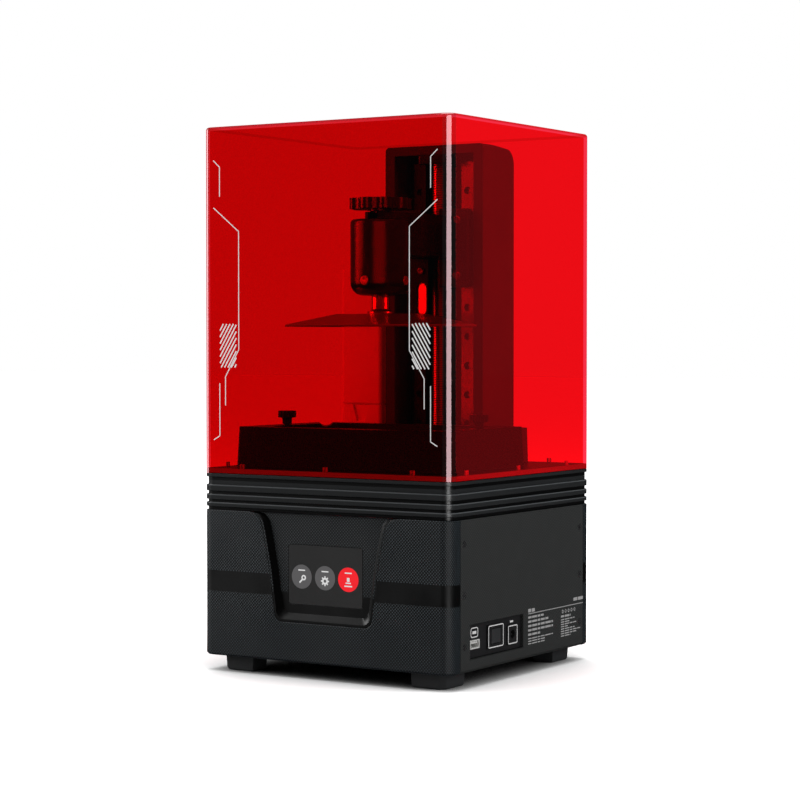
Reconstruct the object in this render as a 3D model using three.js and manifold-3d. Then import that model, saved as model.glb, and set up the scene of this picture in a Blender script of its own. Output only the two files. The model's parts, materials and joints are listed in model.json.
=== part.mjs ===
// A desktop resin printer: a dark ribbed base with a projector inside, a vat and a lifting
// build platform on its deck, and a clear lift-off cover over them.
// Millimetres, +Z up, +X to the right and +Y to the back as seen from the front.
// The origin is on the table, under the middle of the printer.

import * as THREE from 'three';
import { mergeVertices } from 'three/addons/utils/BufferGeometryUtils.js';
import Module from 'manifold-3d';

const wasm = await Module();
wasm.setup();

// ---------------------------------------------------------------- driving dimensions

const WIDTH = 240;
const DEPTH = 230;
const CORNER = 10; // outer radius of the vertical corners
const WALL = 3;
const GAP = 0.3; // between pieces that touch

// heights above the table
const FOOT_H = 13.1;
const PANEL_TOP = 132.7; // top of the textured front and side panels
const RIM_Z = 162.5; // the ledge that the cover stands on
const DECK_Z = 166.9;
const COVER_TOP = 446.3;

const LEDGE = WALL + 0.4; // how far the deck's upstand is inside the cover's outer face
const RIB_GROOVE = 1.6; // depth of the grooves round the upper casing
// the grooves round the upper casing, from bottom to top
const GROOVES = [[133, 135.6], [138.9, 141.4], [145.5, 148.4], [153.3, 159.9]];

const FOOT = { x: 91.5, y: 88, width: 31, depth: 32 };

// the recessed control panel on the front: half widths at heights above the table
const BIB_BOTTOM = 45.1;
const BIB_OUTLINE = [
  [47.2, 52.6], [52.4, 88.6], [58.3, 117.6], [61, 127], [65, 131], [72, PANEL_TOP],
];
const BIB_CORNER = 38; // where the round bottom corner starts
const BIB_DEPTH = 4.5;
const SCREEN = { width: 71, height: 48, z: 83.6 };

// the column of the lifting axis
const TOWER = { half: 49, front: 54, back: 107, top: 438.4, channel: 39.5, web: 82, recess: 430.6 };
const PLINTH = { half: 66, draft: 1, front: 45.5, back: 105, top: 196.5, channel: 40.5 };
const SCREW_Y = 64.5;
const SCREW_R = 6.5;
const RAIL_X = 24;

// the carriage and its arm, in the working position shown at rest
const CARRIAGE = { half: 38, front: 48, back: 56.5, bottom: 316.6, top: 383.4, gap: 9 };
const ARM = { half: 19, bottom: 342.1, top: 377.5, tongue: 371.6 };

// the platform head hangs on the arm; its axis is upright
const HEAD_Y = -29.3;
const HEAD = { radius: 25, bottom: 308.5, top: 371.3, edge: 11 };
const BALL_Z = 320.8;
const BALL_R = 10.5;
const STEM_R = 7.5;
const PLATE = { width: 136, depth: 82, bottom: 283, edge: 1.6, rise: 9, slope: [32, 29] };
const KNOB = { radius: 26, bottom: 379.7, top: 388.8, lobes: 8, hollow: 3.8 };

const VAT = { width: 203, depth: 129, y: -29.5, top: 200.5, draft: 2, roomX: 78, roomY: 50 };
const VAT_KNOB_X = 94.5;

const FILTER = { x: -90.4, y: 93, width: 43.4, depth: 30, seam: 215, top: 335.1 };

// ---------------------------------------------------------------- solids

// a closed geometry as a solid that can be joined and cut
function solid(geometry) {
  const bare = geometry.clone();
  bare.deleteAttribute('normal');
  bare.deleteAttribute('uv');
  const merged = mergeVertices(bare, 1e-4);
  const index = merged.index.array;
  const triangles = [];
  for (let i = 0; i < index.length; i += 3) {
    const [a, b, c] = [index[i], index[i + 1], index[i + 2]];
    if (a !== b && b !== c && c !== a) triangles.push(a, b, c);
  }
  return new wasm.Manifold(new wasm.Mesh({
    numProp: 3,
    vertProperties: new Float32Array(merged.attributes.position.array),
    triVerts: new Uint32Array(triangles),
  }));
}

function geometryOf(body) {
  const mesh = body.getMesh();
  const geometry = new THREE.BufferGeometry();
  geometry.setAttribute('position', new THREE.BufferAttribute(mesh.vertProperties, 3));
  geometry.setIndex(new THREE.BufferAttribute(mesh.triVerts, 1));
  geometry.computeVertexNormals();
  return geometry;
}

// a box between the given limits on each axis
function box([x0, x1], [y0, y1], [z0, z1]) {
  const geometry = new THREE.BoxGeometry(x1 - x0, y1 - y0, z1 - z0);
  return solid(geometry.translate((x0 + x1) / 2, (y0 + y1) / 2, (z0 + z1) / 2));
}

// an upright cylinder
function cylinder(radius, [z0, z1], [x, y] = [0, 0], sides = 24) {
  const geometry = new THREE.CylinderGeometry(radius, radius, z1 - z0, sides);
  return solid(geometry.rotateX(Math.PI / 2).translate(x, y, (z0 + z1) / 2));
}

// a shape in the XY plane, raised between two heights
function prism(shape, [z0, z1], curveSegments = 4) {
  const options = { depth: z1 - z0, bevelEnabled: false, curveSegments };
  return solid(new THREE.ExtrudeGeometry(shape, options).translate(0, 0, z0));
}

// a shape raised with a chamfer or round of the given size on its top and bottom edges
function softPrism(shape, [z0, z1], round, segments = 1, curveSegments = 4) {
  const options = {
    depth: z1 - z0 - 2 * round,
    bevelThickness: round,
    bevelSize: round,
    bevelOffset: -round,
    bevelSegments: segments,
    curveSegments,
  };
  return solid(new THREE.ExtrudeGeometry(shape, options).translate(0, 0, z0 + round));
}

// a profile of [radius, height] points turned about the upright axis
function turned(profile, sides = 28) {
  const points = profile.map(([r, z]) => new THREE.Vector2(r, z));
  return solid(new THREE.LatheGeometry(points, sides).rotateX(Math.PI / 2));
}

// a ball with its poles on the upright axis
function ballSolid(radius) {
  return solid(new THREE.SphereGeometry(radius, 24, 12).rotateX(Math.PI / 2));
}

// points along an arc of a circle from one angle to another, in degrees
function arc(centre, radius, from, to, steps) {
  return Array.from({ length: steps + 1 }, (_, i) => {
    const angle = THREE.MathUtils.degToRad(from + ((to - from) * i) / steps);
    return [centre[0] + radius * Math.cos(angle), centre[1] + radius * Math.sin(angle)];
  });
}

function polygon(points) {
  return new THREE.Shape(points.map(([x, y]) => new THREE.Vector2(x, y)));
}

function roundedRectangle(width, depth, radius, [cx, cy] = [0, 0]) {
  const [x, y] = [width / 2 - radius, depth / 2 - radius];
  const shape = new THREE.Shape();
  shape.absarc(cx + x, cy + y, radius, 0, Math.PI / 2);
  shape.absarc(cx - x, cy + y, radius, Math.PI / 2, Math.PI);
  shape.absarc(cx - x, cy - y, radius, Math.PI, 1.5 * Math.PI);
  shape.absarc(cx + x, cy - y, radius, 1.5 * Math.PI, 2 * Math.PI);
  return shape;
}

// narrows a solid towards one end: the scale at height z1 is given, and at z0 it is 1
function drafted(body, [z0, z1], [scaleX, scaleY], [cx, cy] = [0, 0]) {
  return body.warp((point) => {
    const t = (point[2] - z0) / (z1 - z0);
    point[0] = cx + (point[0] - cx) * (1 + (scaleX - 1) * t);
    point[1] = cy + (point[1] - cy) * (1 + (scaleY - 1) * t);
  });
}

// turns a solid made flat in XY to stand in the XZ plane, its height now pointing to -Y
const standing = (body) => body.rotate([90, 0, 0]);

// ---------------------------------------------------------------- materials and pieces

const finish = (color, roughness, metalness = 0) =>
  new THREE.MeshStandardMaterial({ color, roughness, metalness });

const MATERIALS = {
  casing: finish(0x2a2b2c, 0.55),
  darkPlastic: finish(0x151516, 0.5),
  blackMetal: finish(0x18181a, 0.45, 0.6),
  steel: finish(0xb4b6ba, 0.3, 1),
  aluminium: finish(0x8f9296, 0.4, 0.9),
  glass: finish(0x0c0d10, 0.1),
  window: finish(0xdfe8ea, 0.05),
  cover: new THREE.MeshStandardMaterial({
    color: 0xd8000c, roughness: 0.08, transparent: true, opacity: 0.5,
  }),
  filter: finish(0xe6e2de, 0.5),
  rubber: finish(0x161616, 0.85),
  board: finish(0x1c4a2c, 0.6),
  film: finish(0xcfd6dc, 0.2),
};

const printer = new THREE.Group();

function group(parent, x = 0, y = 0, z = 0) {
  const child = new THREE.Group();
  child.position.set(x, y, z);
  parent.add(child);
  return child;
}

function piece(parent, name, body, material, [x, y, z] = [0, 0, 0]) {
  const mesh = new THREE.Mesh(geometryOf(body), material);
  mesh.name = name;
  mesh.position.set(x, y, z);
  parent.add(mesh);
  return mesh;
}

// ---------------------------------------------------------------- outer panels of the base

const FRONT = -DEPTH / 2;
const BACK = DEPTH / 2;
const RIGHT = WIDTH / 2;
const SEAM_Y = 101; // where the front and rear shells meet the side panels
const PORTS = { y: [-86, -2], z: [23.1, 50.1], depth: 2.5 };
const PANEL_SCREWS_Z = [33.5, 73.9, 113.7];
const PANEL_SCREW_Y = 95;
const CHAMFER = 1.5; // along the lower edge of the panels

// the ring of panels between the feet and the upper casing, before it is divided
function panelRing() {
  const outer = softPrism(
    roundedRectangle(WIDTH, DEPTH, CORNER), [FOOT_H, PANEL_TOP + CHAMFER], CHAMFER,
  );
  const inner = prism(
    roundedRectangle(WIDTH - 2 * WALL, DEPTH - 2 * WALL, CORNER - WALL),
    [FOOT_H - 1, PANEL_TOP + 3],
  );
  const above = box([-WIDTH, WIDTH], [-DEPTH, DEPTH], [PANEL_TOP, PANEL_TOP + 3]);
  return outer.subtract(inner).subtract(above);
}

// the outline of the control panel, made smaller all round except at its top
function bibShape(inset) {
  const right = BIB_OUTLINE.map(([x, z], i) => [x - inset, i === 0 ? z + inset * 0.6 : z]);
  const left = right.map(([x, z]) => [-x, z]).reverse();
  const shape = polygon([[-BIB_CORNER + inset, BIB_BOTTOM + inset]]);
  shape.lineTo(BIB_CORNER - inset, BIB_BOTTOM + inset);
  const [cornerX, cornerZ] = right[0];
  shape.quadraticCurveTo(cornerX - 1.5, BIB_BOTTOM + inset, cornerX, cornerZ);
  right.slice(1).forEach(([x, z]) => shape.lineTo(x, z));
  left.slice(0, -1).forEach(([x, z]) => shape.lineTo(x, z));
  shape.lineTo(-cornerX, cornerZ);
  shape.quadraticCurveTo(1.5 - cornerX, BIB_BOTTOM + inset, -BIB_CORNER + inset, BIB_BOTTOM + inset);
  return shape;
}

// a solid with the control panel's outline, from one Y to another
function bibSolid(inset, [y0, y1]) {
  return standing(prism(bibShape(inset), [-y1, -y0]));
}

function outerPanels(parent) {
  const ring = panelRing();
  const far = 200;
  const tall = [0, PANEL_TOP + 1];
  const front = ring
    .intersect(box([-far, far], [-far, -SEAM_Y - GAP / 2], tall))
    .subtract(bibSolid(0, [FRONT - 1, FRONT + WALL + 1]));
  piece(parent, 'front_shell', front, MATERIALS.casing);

  let rear = ring.intersect(box([-far, far], [SEAM_Y + GAP / 2, far], tall));
  rear = rear.subtract(fanGrille()).subtract(airSlots());
  piece(parent, 'rear_panel', rear, MATERIALS.casing);

  const side = ring.intersect(box([0, far], [-SEAM_Y + GAP / 2, SEAM_Y - GAP / 2], tall));
  const drilled = side.subtract(panelScrewPockets());
  const opening = box([RIGHT - WALL - 1, RIGHT + 1], PORTS.y, PORTS.z);
  piece(parent, 'right_side_panel', drilled.subtract(opening), MATERIALS.casing);
  piece(parent, 'left_side_panel', drilled.mirror([1, 0, 0]), MATERIALS.casing);
}

// shallow round pockets for the heads of the side panels' screws
function panelScrewPockets() {
  const pocket = cylinder(3.1, [RIGHT - 1.2, RIGHT + 1], [0, 0], 12).rotate([0, 90, 0]);
  const pockets = [];
  for (const y of [-PANEL_SCREW_Y, PANEL_SCREW_Y]) {
    for (const z of PANEL_SCREWS_Z) pockets.push(pocket.translate([0, y, z]));
  }
  return pockets.reduce((all, next) => all.add(next));
}

// ---------------------------------------------------------------- upper casing and bottom

const WINDOW = { width: 136, depth: 82, ledge: 4, glass: 1.8 };
const DECK_T = 3;
const STUD_HOLE_R = 3.4;
const SCREW_HOLE_R = 12;
const CABLE_HOLE = { x: [46, 58], y: [70, 90] };
const MOTOR = { side: 42.3, bottom: 98.6, top: 138.6 };

function upperCasing(parent) {
  const step = (inset, heights) =>
    prism(roundedRectangle(WIDTH - 2 * inset, DEPTH - 2 * inset, CORNER - inset), heights);
  let casing = step(RIB_GROOVE, [GROOVES[0][0], RIM_Z]);
  for (let i = 0; i < GROOVES.length; i += 1) {
    const ribTop = i + 1 < GROOVES.length ? GROOVES[i + 1][0] : RIM_Z;
    casing = casing.add(step(0, [GROOVES[i][1], ribTop]));
  }
  casing = casing.add(step(LEDGE, [RIM_Z - 1, DECK_Z]));
  casing = casing.subtract(
    prism(roundedRectangle(WIDTH - 10, DEPTH - 10, CORNER - 5), [PANEL_TOP, DECK_Z - DECK_T]),
  );
  casing = casing.add(motorBoss()).add(coverBumps());

  const { width, depth, ledge, glass } = WINDOW;
  const holes = [
    prism(roundedRectangle(width, depth, 3, [0, VAT.y]), [DECK_Z - glass - GAP, DECK_Z + 1]),
    prism(
      roundedRectangle(width - 2 * ledge, depth - 2 * ledge, 3, [0, VAT.y]),
      [DECK_Z - DECK_T - 1, DECK_Z + 1],
    ),
    cylinder(SCREW_HOLE_R, [MOTOR.top, DECK_Z + 1], [0, SCREW_Y]),
    box(CABLE_HOLE.x, CABLE_HOLE.y, [DECK_Z - DECK_T - 1, DECK_Z + 1]),
  ];
  for (const x of [-VAT_KNOB_X, VAT_KNOB_X]) {
    holes.push(cylinder(STUD_HOLE_R, [DECK_Z - DECK_T - 1, DECK_Z + 1], [x, VAT.y], 12));
  }
  for (const hole of holes) casing = casing.subtract(hole);
  piece(parent, 'upper_casing', casing, MATERIALS.casing);

  const pane = roundedRectangle(width - 2 * GAP, depth - 2 * GAP, 2.7, [0, VAT.y]);
  piece(parent, 'projection_window', prism(pane, [DECK_Z - glass, DECK_Z]), MATERIALS.window);
}

// a square sleeve under the deck that the lifting motor is screwed to
function motorBoss() {
  const half = MOTOR.side / 2;
  const sleeve = box([-half, half], [SCREW_Y - half, SCREW_Y + half], [MOTOR.top, DECK_Z - 1]);
  const hollow = half - 3;
  return sleeve.subtract(
    box([-hollow, hollow], [SCREW_Y - hollow, SCREW_Y + hollow], [MOTOR.top + 4, DECK_Z - DECK_T]),
  );
}

// small upright bumps along the deck's edge that centre the cover
function coverBumps() {
  const height = [DECK_Z - 1, DECK_Z + 3.6];
  const reach = 0.9;
  const bumps = [];
  for (const at of [-82, 0, 82]) {
    for (const side of [-1, 1]) {
      const edgeY = side * (DEPTH / 2 - LEDGE - reach);
      const edgeX = side * (WIDTH / 2 - LEDGE - reach);
      bumps.push(box([at - 2, at + 2], [edgeY - reach, edgeY + reach], height));
      bumps.push(box([edgeX - reach, edgeX + reach], [at - 5, at - 1], height));
    }
  }
  return bumps.reduce((all, next) => all.add(next));
}

function bottomPlate(parent) {
  const [width, depth] = [WIDTH - 2 * WALL - 2 * GAP, DEPTH - 2 * WALL - 2 * GAP];
  const thickness = 2;
  let plate = prism(
    roundedRectangle(width, depth, CORNER - WALL - GAP),
    [FOOT_H + GAP, FOOT_H + GAP + thickness],
  );
  for (let x = -40; x <= 40; x += 10) {
    plate = plate.subtract(box([x - 2, x + 2], [-70, -20], [FOOT_H - 1, FOOT_H + 6]));
  }
  piece(parent, 'bottom_plate', plate, MATERIALS.blackMetal);
}

// the feet narrow a little towards the table; each has a small cut on its outer corner and a
// large one on the corner that points to the middle
function feet(parent) {
  const [halfX, halfY] = [FOOT.width / 2, FOOT.depth / 2];
  const [outerCut, innerCut] = [4.5, 12];
  const round = 1.5;
  const outline = polygon([
    [innerCut - halfX, -halfY], [halfX, -halfY], [halfX, halfY - outerCut],
    [halfX - outerCut, halfY], [-halfX, halfY], [-halfX, innerCut - halfY],
  ]);
  const block = softPrism(outline, [0, FOOT_H + round], round, 2)
    .intersect(box([-FOOT.width, FOOT.width], [-FOOT.depth, FOOT.depth], [0, FOOT_H]));
  const foot = drafted(block, [FOOT_H, 0], [0.95, 0.95]);
  const corners = [
    ['foot_front_left', -1, -1], ['foot_front_right', 1, -1],
    ['foot_rear_left', -1, 1], ['foot_rear_right', 1, 1],
  ];
  for (const [name, sideX, sideY] of corners) {
    const turnedFoot = foot.scale([sideX, sideY, 1]);
    piece(parent, name, turnedFoot, MATERIALS.rubber, [sideX * FOOT.x, sideY * FOOT.y, 0]);
  }
}

// ---------------------------------------------------------------- control panel

function controlPanel(parent) {
  const rim = 2.2;
  const floorY = FRONT + BIB_DEPTH;
  const backY = floorY + 2.5;
  const { width, height, z } = SCREEN;
  const mouth = prism(bibShape(rim), [-floorY, -FRONT + 1]);
  const hollow = drafted(
    mouth, [-FRONT, -floorY], [0.93, 0.965], [0, PANEL_TOP],
  );
  const above = box([-WIDTH, WIDTH], [FRONT - 5, backY + 5], [PANEL_TOP - GAP, PANEL_TOP + 5]);
  const pocket = standing(
    prism(roundedRectangle(width + 2 * GAP, height + 2 * GAP, 2.3, [0, z]), [-floorY - 1.4, 200]),
  );
  const cable = box([-20, 20], [floorY, backY + 1], [z - 15, z + 15]);
  const panel = bibSolid(GAP, [FRONT + GAP, backY])
    .subtract(standing(hollow))
    .subtract(above)
    .subtract(pocket)
    .subtract(cable);
  piece(parent, 'control_panel', panel, MATERIALS.darkPlastic);

  const glass = softPrism(roundedRectangle(width, height, 2), [0, 1.4], 0.3);
  piece(parent, 'screen_glass', standing(glass), MATERIALS.glass, [0, floorY + 1.1, z]);

  const module = box([-width / 2, width / 2], [0, 5], [-height / 2, height / 2])
    .add(box([-15, 15], [4, 8], [-12, 12]));
  piece(parent, 'screen_module', module, MATERIALS.aluminium, [0, backY + GAP, z]);
}

// ---------------------------------------------------------------- ports on the right side

// local frame of the ports: X points out of the side, Y to the back
const USB = { y: -75.8, z: 33.8, width: 14.6, height: 7, depth: 16 };
const SWITCH = { y: -44.5, z: 37.1, width: 25, height: 19 };
const JACK = { y: -17, z: 35.2, side: 16 };

function ports(parent) {
  const face = RIGHT - PORTS.depth;
  const [y0, y1] = PORTS.y;
  const [z0, z1] = PORTS.z;
  let plate = box([face - 2, face], [y0 + GAP, y1 - GAP], [z0 + GAP, z1 - GAP]);
  plate = plate.add(box([face - 5, face - 2], [y0 - 3, y1 + 3], [z0 - 3, z1 + 3]));
  const through = [face - 6, face + 1];
  const hole = (y, z, width, height) =>
    box(through, [y - width / 2, y + width / 2], [z - height / 2, z + height / 2]);
  plate = plate
    .subtract(hole(USB.y, USB.z, USB.width + 2 * GAP, USB.height + 2 * GAP))
    .subtract(hole(SWITCH.y, SWITCH.z, SWITCH.width - 3, SWITCH.height - 3))
    .subtract(hole(JACK.y, JACK.z, JACK.side - 3, JACK.side - 3));
  piece(parent, 'port_plate', plate, MATERIALS.darkPlastic);

  const usb = box([-USB.depth, 0.6], [-USB.width / 2, USB.width / 2], [-USB.height / 2, USB.height / 2])
    .subtract(box([-USB.depth + 2, 1], [-6.4, 6.4], [-2.6, 2.6]))
    .add(box([-USB.depth + 1, -1], [-5.6, 5.6], [0.4, 2]));
  piece(parent, 'usb_port', usb, MATERIALS.steel, [face, USB.y, USB.z]);

  powerSwitch(parent, face);

  const jackHalf = JACK.side / 2;
  const socket = (radius, range) => cylinder(radius, range, [0, 0], 16).rotate([0, 90, 0]);
  const jack = box([GAP, 1.2], [-jackHalf, jackHalf], [-jackHalf, jackHalf])
    .add(box([-13, GAP], [GAP + 1.5 - jackHalf, jackHalf - 1.5 - GAP], [-6, 6]))
    .subtract(socket(3.6, [-10, 3]))
    .add(socket(1, [-11, 0]));
  piece(parent, 'power_jack', jack, MATERIALS.darkPlastic, [face, JACK.y, JACK.z]);
}

// a rocker that tips about an upright pin in its housing
function powerSwitch(parent, face) {
  const [halfY, halfZ] = [SWITCH.width / 2, SWITCH.height / 2];
  const [roomY, roomZ] = [8.2, 6.2];
  const housing = box([GAP, 1.5], [-halfY, halfY], [-halfZ, halfZ])
    .add(box([-14, GAP], [GAP + 1.5 - halfY, halfY - 1.5 - GAP], [GAP + 1.5 - halfZ, halfZ - 1.5 - GAP]))
    .subtract(box([-11, 3], [-roomY, roomY], [-roomZ, roomZ]));
  piece(parent, 'switch_housing', housing, MATERIALS.darkPlastic, [face, SWITCH.y, SWITCH.z]);

  // the pressed end is level with the bezel and the other end stands out
  const profile = polygon([[-2.5, 7.3], [0.9, 7.3], [0.1, 0], [0.9, -7.3], [-2.5, -7.3], [-5.5, 0]]);
  const height = roomZ - 0.4;
  const rocker = prism(profile, [-height, height]);
  piece(parent, 'power_rocker', rocker, MATERIALS.rubber, [face + 0.9, SWITCH.y, SWITCH.z]);
}

// ---------------------------------------------------------------- inside the base

const FLOOR_Z = FOOT_H + GAP + 2 + GAP; // top of the bottom plate, with the usual gap
const ENGINE = { half: [52, 34], bottom: 43.2, top: 94.6 };
const FAN = { x: 55, z: 82.6, half: 30, thickness: 15 };
const AIR_SLOTS_Z = [57.6, 107.6];
const FAN_Y = BACK - WALL - GAP - FAN.thickness; // the fan's inner face

function lightEngine(parent) {
  const centre = group(parent, 0, VAT.y, 0);
  const [halfX, halfY] = ENGINE.half;
  let engine = box([-halfX, halfX], [-halfY, halfY], [ENGINE.bottom, ENGINE.top - 12]);
  engine = engine.add(box([-30, 30], [-halfY, halfY], [ENGINE.top - 13, ENGINE.top]));
  const slotZ = [ENGINE.bottom + 6, ENGINE.top];
  for (let x = -halfX + 4; x < -halfX + 20; x += 5) {
    engine = engine.subtract(box([x, x + 2.5], [-halfY - 1, halfY + 1], slotZ));
  }
  engine = engine.subtract(cylinder(14.3, [ENGINE.top - 20, ENGINE.top + 1]));
  piece(centre, 'light_engine', engine, MATERIALS.blackMetal);

  const lens = turned([
    [0, ENGINE.top - 18], [14, ENGINE.top - 18], [14, ENGINE.top + 4], [19, ENGINE.top + 6],
    [19, ENGINE.top + 30], [17, ENGINE.top + 32], [14, ENGINE.top + 32], [10, ENGINE.top + 28],
    [0, ENGINE.top + 30],
  ]);
  piece(centre, 'projector_lens', lens, MATERIALS.darkPlastic);

  const shelf = [ENGINE.bottom - GAP - 3, ENGINE.bottom - GAP];
  let bracket = box([-halfX - 6, halfX + 6], [-halfY - 4, halfY + 4], shelf)
    .subtract(box([-halfX + 14, halfX - 14], [10 - halfY, halfY - 10], [0, 60]));
  for (const x of [-halfX - 2, halfX + 2]) {
    for (const y of [-halfY, halfY]) {
      bracket = bracket.add(cylinder(3.5, [FLOOR_Z, shelf[0] + 1], [x, y], 16));
    }
  }
  piece(centre, 'engine_bracket', bracket, MATERIALS.aluminium);
}

function mainBoard(parent) {
  const board = group(parent, -84, 0, FLOOR_Z);
  const [halfX, halfY] = [24, 70];
  const boardZ = 6;
  let pcb = box([-halfX, halfX], [-halfY, halfY], [boardZ, boardZ + 1.6]);
  for (const x of [4 - halfX, halfX - 4]) {
    for (const y of [4 - halfY, halfY - 4]) {
      pcb = pcb.add(cylinder(2.5, [0, boardZ + 1], [x, y], 12));
    }
  }
  const top = [boardZ + 1, boardZ + 6];
  pcb = pcb
    .add(box([-10, 10], [-12, 12], top))
    .add(box([-18, -6], [22, 50], top))
    .add(box([4, 18], [24, 40], [boardZ + 1, boardZ + 14]))
    .add(box([-18, 16], [-58, -50], [boardZ + 1, boardZ + 10]));
  piece(board, 'main_board', pcb, MATERIALS.board);
}

function fan(parent) {
  const { half, thickness } = FAN;
  const centre = group(parent, FAN.x, FAN_Y, FAN.z);
  const spin = (body) => body.rotate([-90, 0, 0]); // upright axis to +Y
  let frame = prism(roundedRectangle(2 * half, 2 * half, 4), [0, thickness])
    .subtract(cylinder(half - 1.5, [-1, thickness + 1]))
    .add(cylinder(12, [0, 2.4]));
  for (const angle of [45, 135]) {
    const strut = box([-half, half], [-1.5, 1.5], [0, 2]);
    frame = frame.add(strut.rotate([0, 0, angle]));
  }
  piece(centre, 'fan_frame', spin(frame), MATERIALS.darkPlastic);

  const blades = 7;
  let rotor = cylinder(12, [3, thickness - 1]);
  for (let i = 0; i < blades; i += 1) {
    const blade = box([10, half - 3], [-0.8, 0.8], [4, thickness - 2])
      .rotate([32, 0, 0])
      .translate([0, 4.5, -4.6]);
    const cut = blade.intersect(cylinder(half - 3, [3, thickness - 1]));
    rotor = rotor.add(cut.rotate([0, 0, (360 * i) / blades]));
  }
  piece(centre, 'fan_rotor', spin(rotor), MATERIALS.darkPlastic);
}

// slots in the rear panel in front of the fan, kept inside a circle
function fanGrille() {
  const pitch = 6;
  const radius = 26;
  const slots = [];
  for (let z = -24; z <= 24; z += pitch) {
    const reach = Math.sqrt(radius * radius - z * z);
    slots.push(box([FAN.x - reach, FAN.x + reach], [BACK - WALL - 1, BACK + 1],
      [FAN.z + z - 1.6, FAN.z + z + 1.6]));
  }
  const spine = box([FAN.x - 1.5, FAN.x + 1.5], [BACK - 5, BACK + 2], [FAN.z - 40, FAN.z + 40]);
  return slots.reduce((all, next) => all.add(next)).subtract(spine);
}

// a bank of upright slots on the other half of the rear panel
function airSlots() {
  const slots = [];
  for (let x = -90; x <= -30; x += 7.5) {
    slots.push(box([x - 1.5, x + 1.5], [BACK - WALL - 1, BACK + 1], AIR_SLOTS_Z));
  }
  return slots.reduce((all, next) => all.add(next));
}

// ---------------------------------------------------------------- lifting axis, fixed parts

function tower(parent) {
  const { half, front, back, top, channel, web, recess } = TOWER;
  const bottom = PLINTH.top + GAP;
  // front view with round top corners, cut by the side view whose top falls away at the back
  const frontView = polygon([
    [-half, bottom], [half, bottom],
    ...arc([half - 4, top - 4], 4, 0, 90, 4),
    ...arc([4 - half, top - 4], 4, 90, 180, 4),
  ]);
  const backRound = 14;
  const sideView = polygon([
    [front, bottom - 1], [back, bottom - 1],
    ...arc([back - backRound, top - 2 - backRound], backRound, 0, 70, 6),
    [front + 18, top + 0.01], [front, top + 0.01],
  ]);
  let shell = standing(prism(frontView, [-back, -front]));
  shell = shell.intersect(prism(sideView, [-half - 1, half + 1]).rotate([90, 0, 90]));
  shell = shell.subtract(box([-channel, channel], [front - 1, web], [bottom - 1, recess]));
  shell = shell.subtract(box([-half + 4, half - 4], [web + 4, back - 3], [bottom - 1, top - 16]));
  piece(parent, 'tower_shell', shell, MATERIALS.darkPlastic);

  plinth(parent);
}

function plinth(parent) {
  const { half, draft, front, back, top, channel } = PLINTH;
  const bottom = DECK_Z + GAP;
  const outline = roundedRectangle(2 * half, back - front, 4, [0, (front + back) / 2]);
  let block = drafted(
    prism(outline, [bottom, top]), [bottom, top], [1 - draft / half, 1], [0, 0],
  );
  block = block.subtract(box([-channel, channel], [front - 1, TOWER.web + 2], [bottom - 1, top + 1]));
  block = block.subtract(box([-40, 40], [TOWER.web + 6, back - 4], [bottom - 1, top + 1]));
  piece(parent, 'tower_plinth', block, MATERIALS.darkPlastic);
}

function liftingAxis(parent) {
  const bottom = DECK_Z + GAP;
  const recessTop = TOWER.recess;
  const plateBack = TOWER.web - GAP;
  const plateFront = plateBack - 3;
  const railFront = plateFront - GAP - 8;

  const plate = box([-38.5, 38.5], [plateFront, plateBack], [bottom, recessTop - GAP]);
  piece(parent, 'rail_plate', plate, MATERIALS.blackMetal);

  const railShape = polygon([
    [-6, 0], [6, 0], [6, 3], [5, 4.2], [5, 5.2], [6, 6.2], [6, 8], [-6, 8],
    [-6, 6.2], [-5, 5.2], [-5, 4.2], [-6, 3],
  ]);
  const rail = prism(railShape, [bottom + 8, recessTop - 6]);
  piece(parent, 'rail_left', rail, MATERIALS.steel, [-RAIL_X, railFront, 0]);
  piece(parent, 'rail_right', rail, MATERIALS.steel, [RAIL_X, railFront, 0]);

  const axis = group(parent, 0, SCREW_Y, 0);
  const bearing = (z0, z1) => prism(roundedRectangle(30, 26, 3), [z0, z1])
    .subtract(cylinder(SCREW_R + GAP, [z0 - 1, z1 + 1]));
  piece(axis, 'lower_bearing', bearing(bottom, bottom + 13), MATERIALS.aluminium);
  piece(axis, 'upper_bearing', bearing(recessTop - 8, recessTop - GAP), MATERIALS.aluminium);

  // the motor's shaft and the screw's journal meet inside the coupler
  const shaftR = 2.5;
  const [couplerBottom, couplerTop] = [MOTOR.top + 5, MOTOR.top + 23];
  const screwEnd = couplerTop - 7;
  const screw = cylinder(SCREW_R, [screwEnd, recessTop - 2.6])
    .add(cylinder(4, [screwEnd - 2, screwEnd + 1], [0, 0], 20));
  piece(axis, 'lead_screw', screw, MATERIALS.steel);

  const coupler = cylinder(10, [couplerBottom, couplerTop])
    .subtract(cylinder(SCREW_R + GAP, [screwEnd - 2.5, couplerTop + 1]))
    .subtract(cylinder(shaftR + GAP, [MOTOR.top, screwEnd], [0, 0], 16));
  piece(axis, 'shaft_coupler', coupler, MATERIALS.aluminium);

  const motorSide = MOTOR.side / 2;
  const body = prism(
    polygon([
      [motorSide, motorSide - 4], [motorSide - 4, motorSide], [4 - motorSide, motorSide],
      [-motorSide, motorSide - 4], [-motorSide, 4 - motorSide], [4 - motorSide, -motorSide],
      [motorSide - 4, -motorSide], [motorSide, 4 - motorSide],
    ]),
    [MOTOR.bottom, MOTOR.top - GAP],
  );
  const motor = body.add(cylinder(shaftR, [MOTOR.top - 1, screwEnd - 3], [0, 0], 16));
  piece(axis, 'lift_motor', motor, MATERIALS.blackMetal);
}

// a forked light sensor that the carriage's flag passes at the bottom of its travel
const FLAG = { x: [-21, 0], y: 45.2, thickness: 1.6, bottom: 288.1 };
const FLAG_SLOT = { x: -6.8, radius: 4.9, bottom: 298.1, top: 315.6 };

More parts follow.
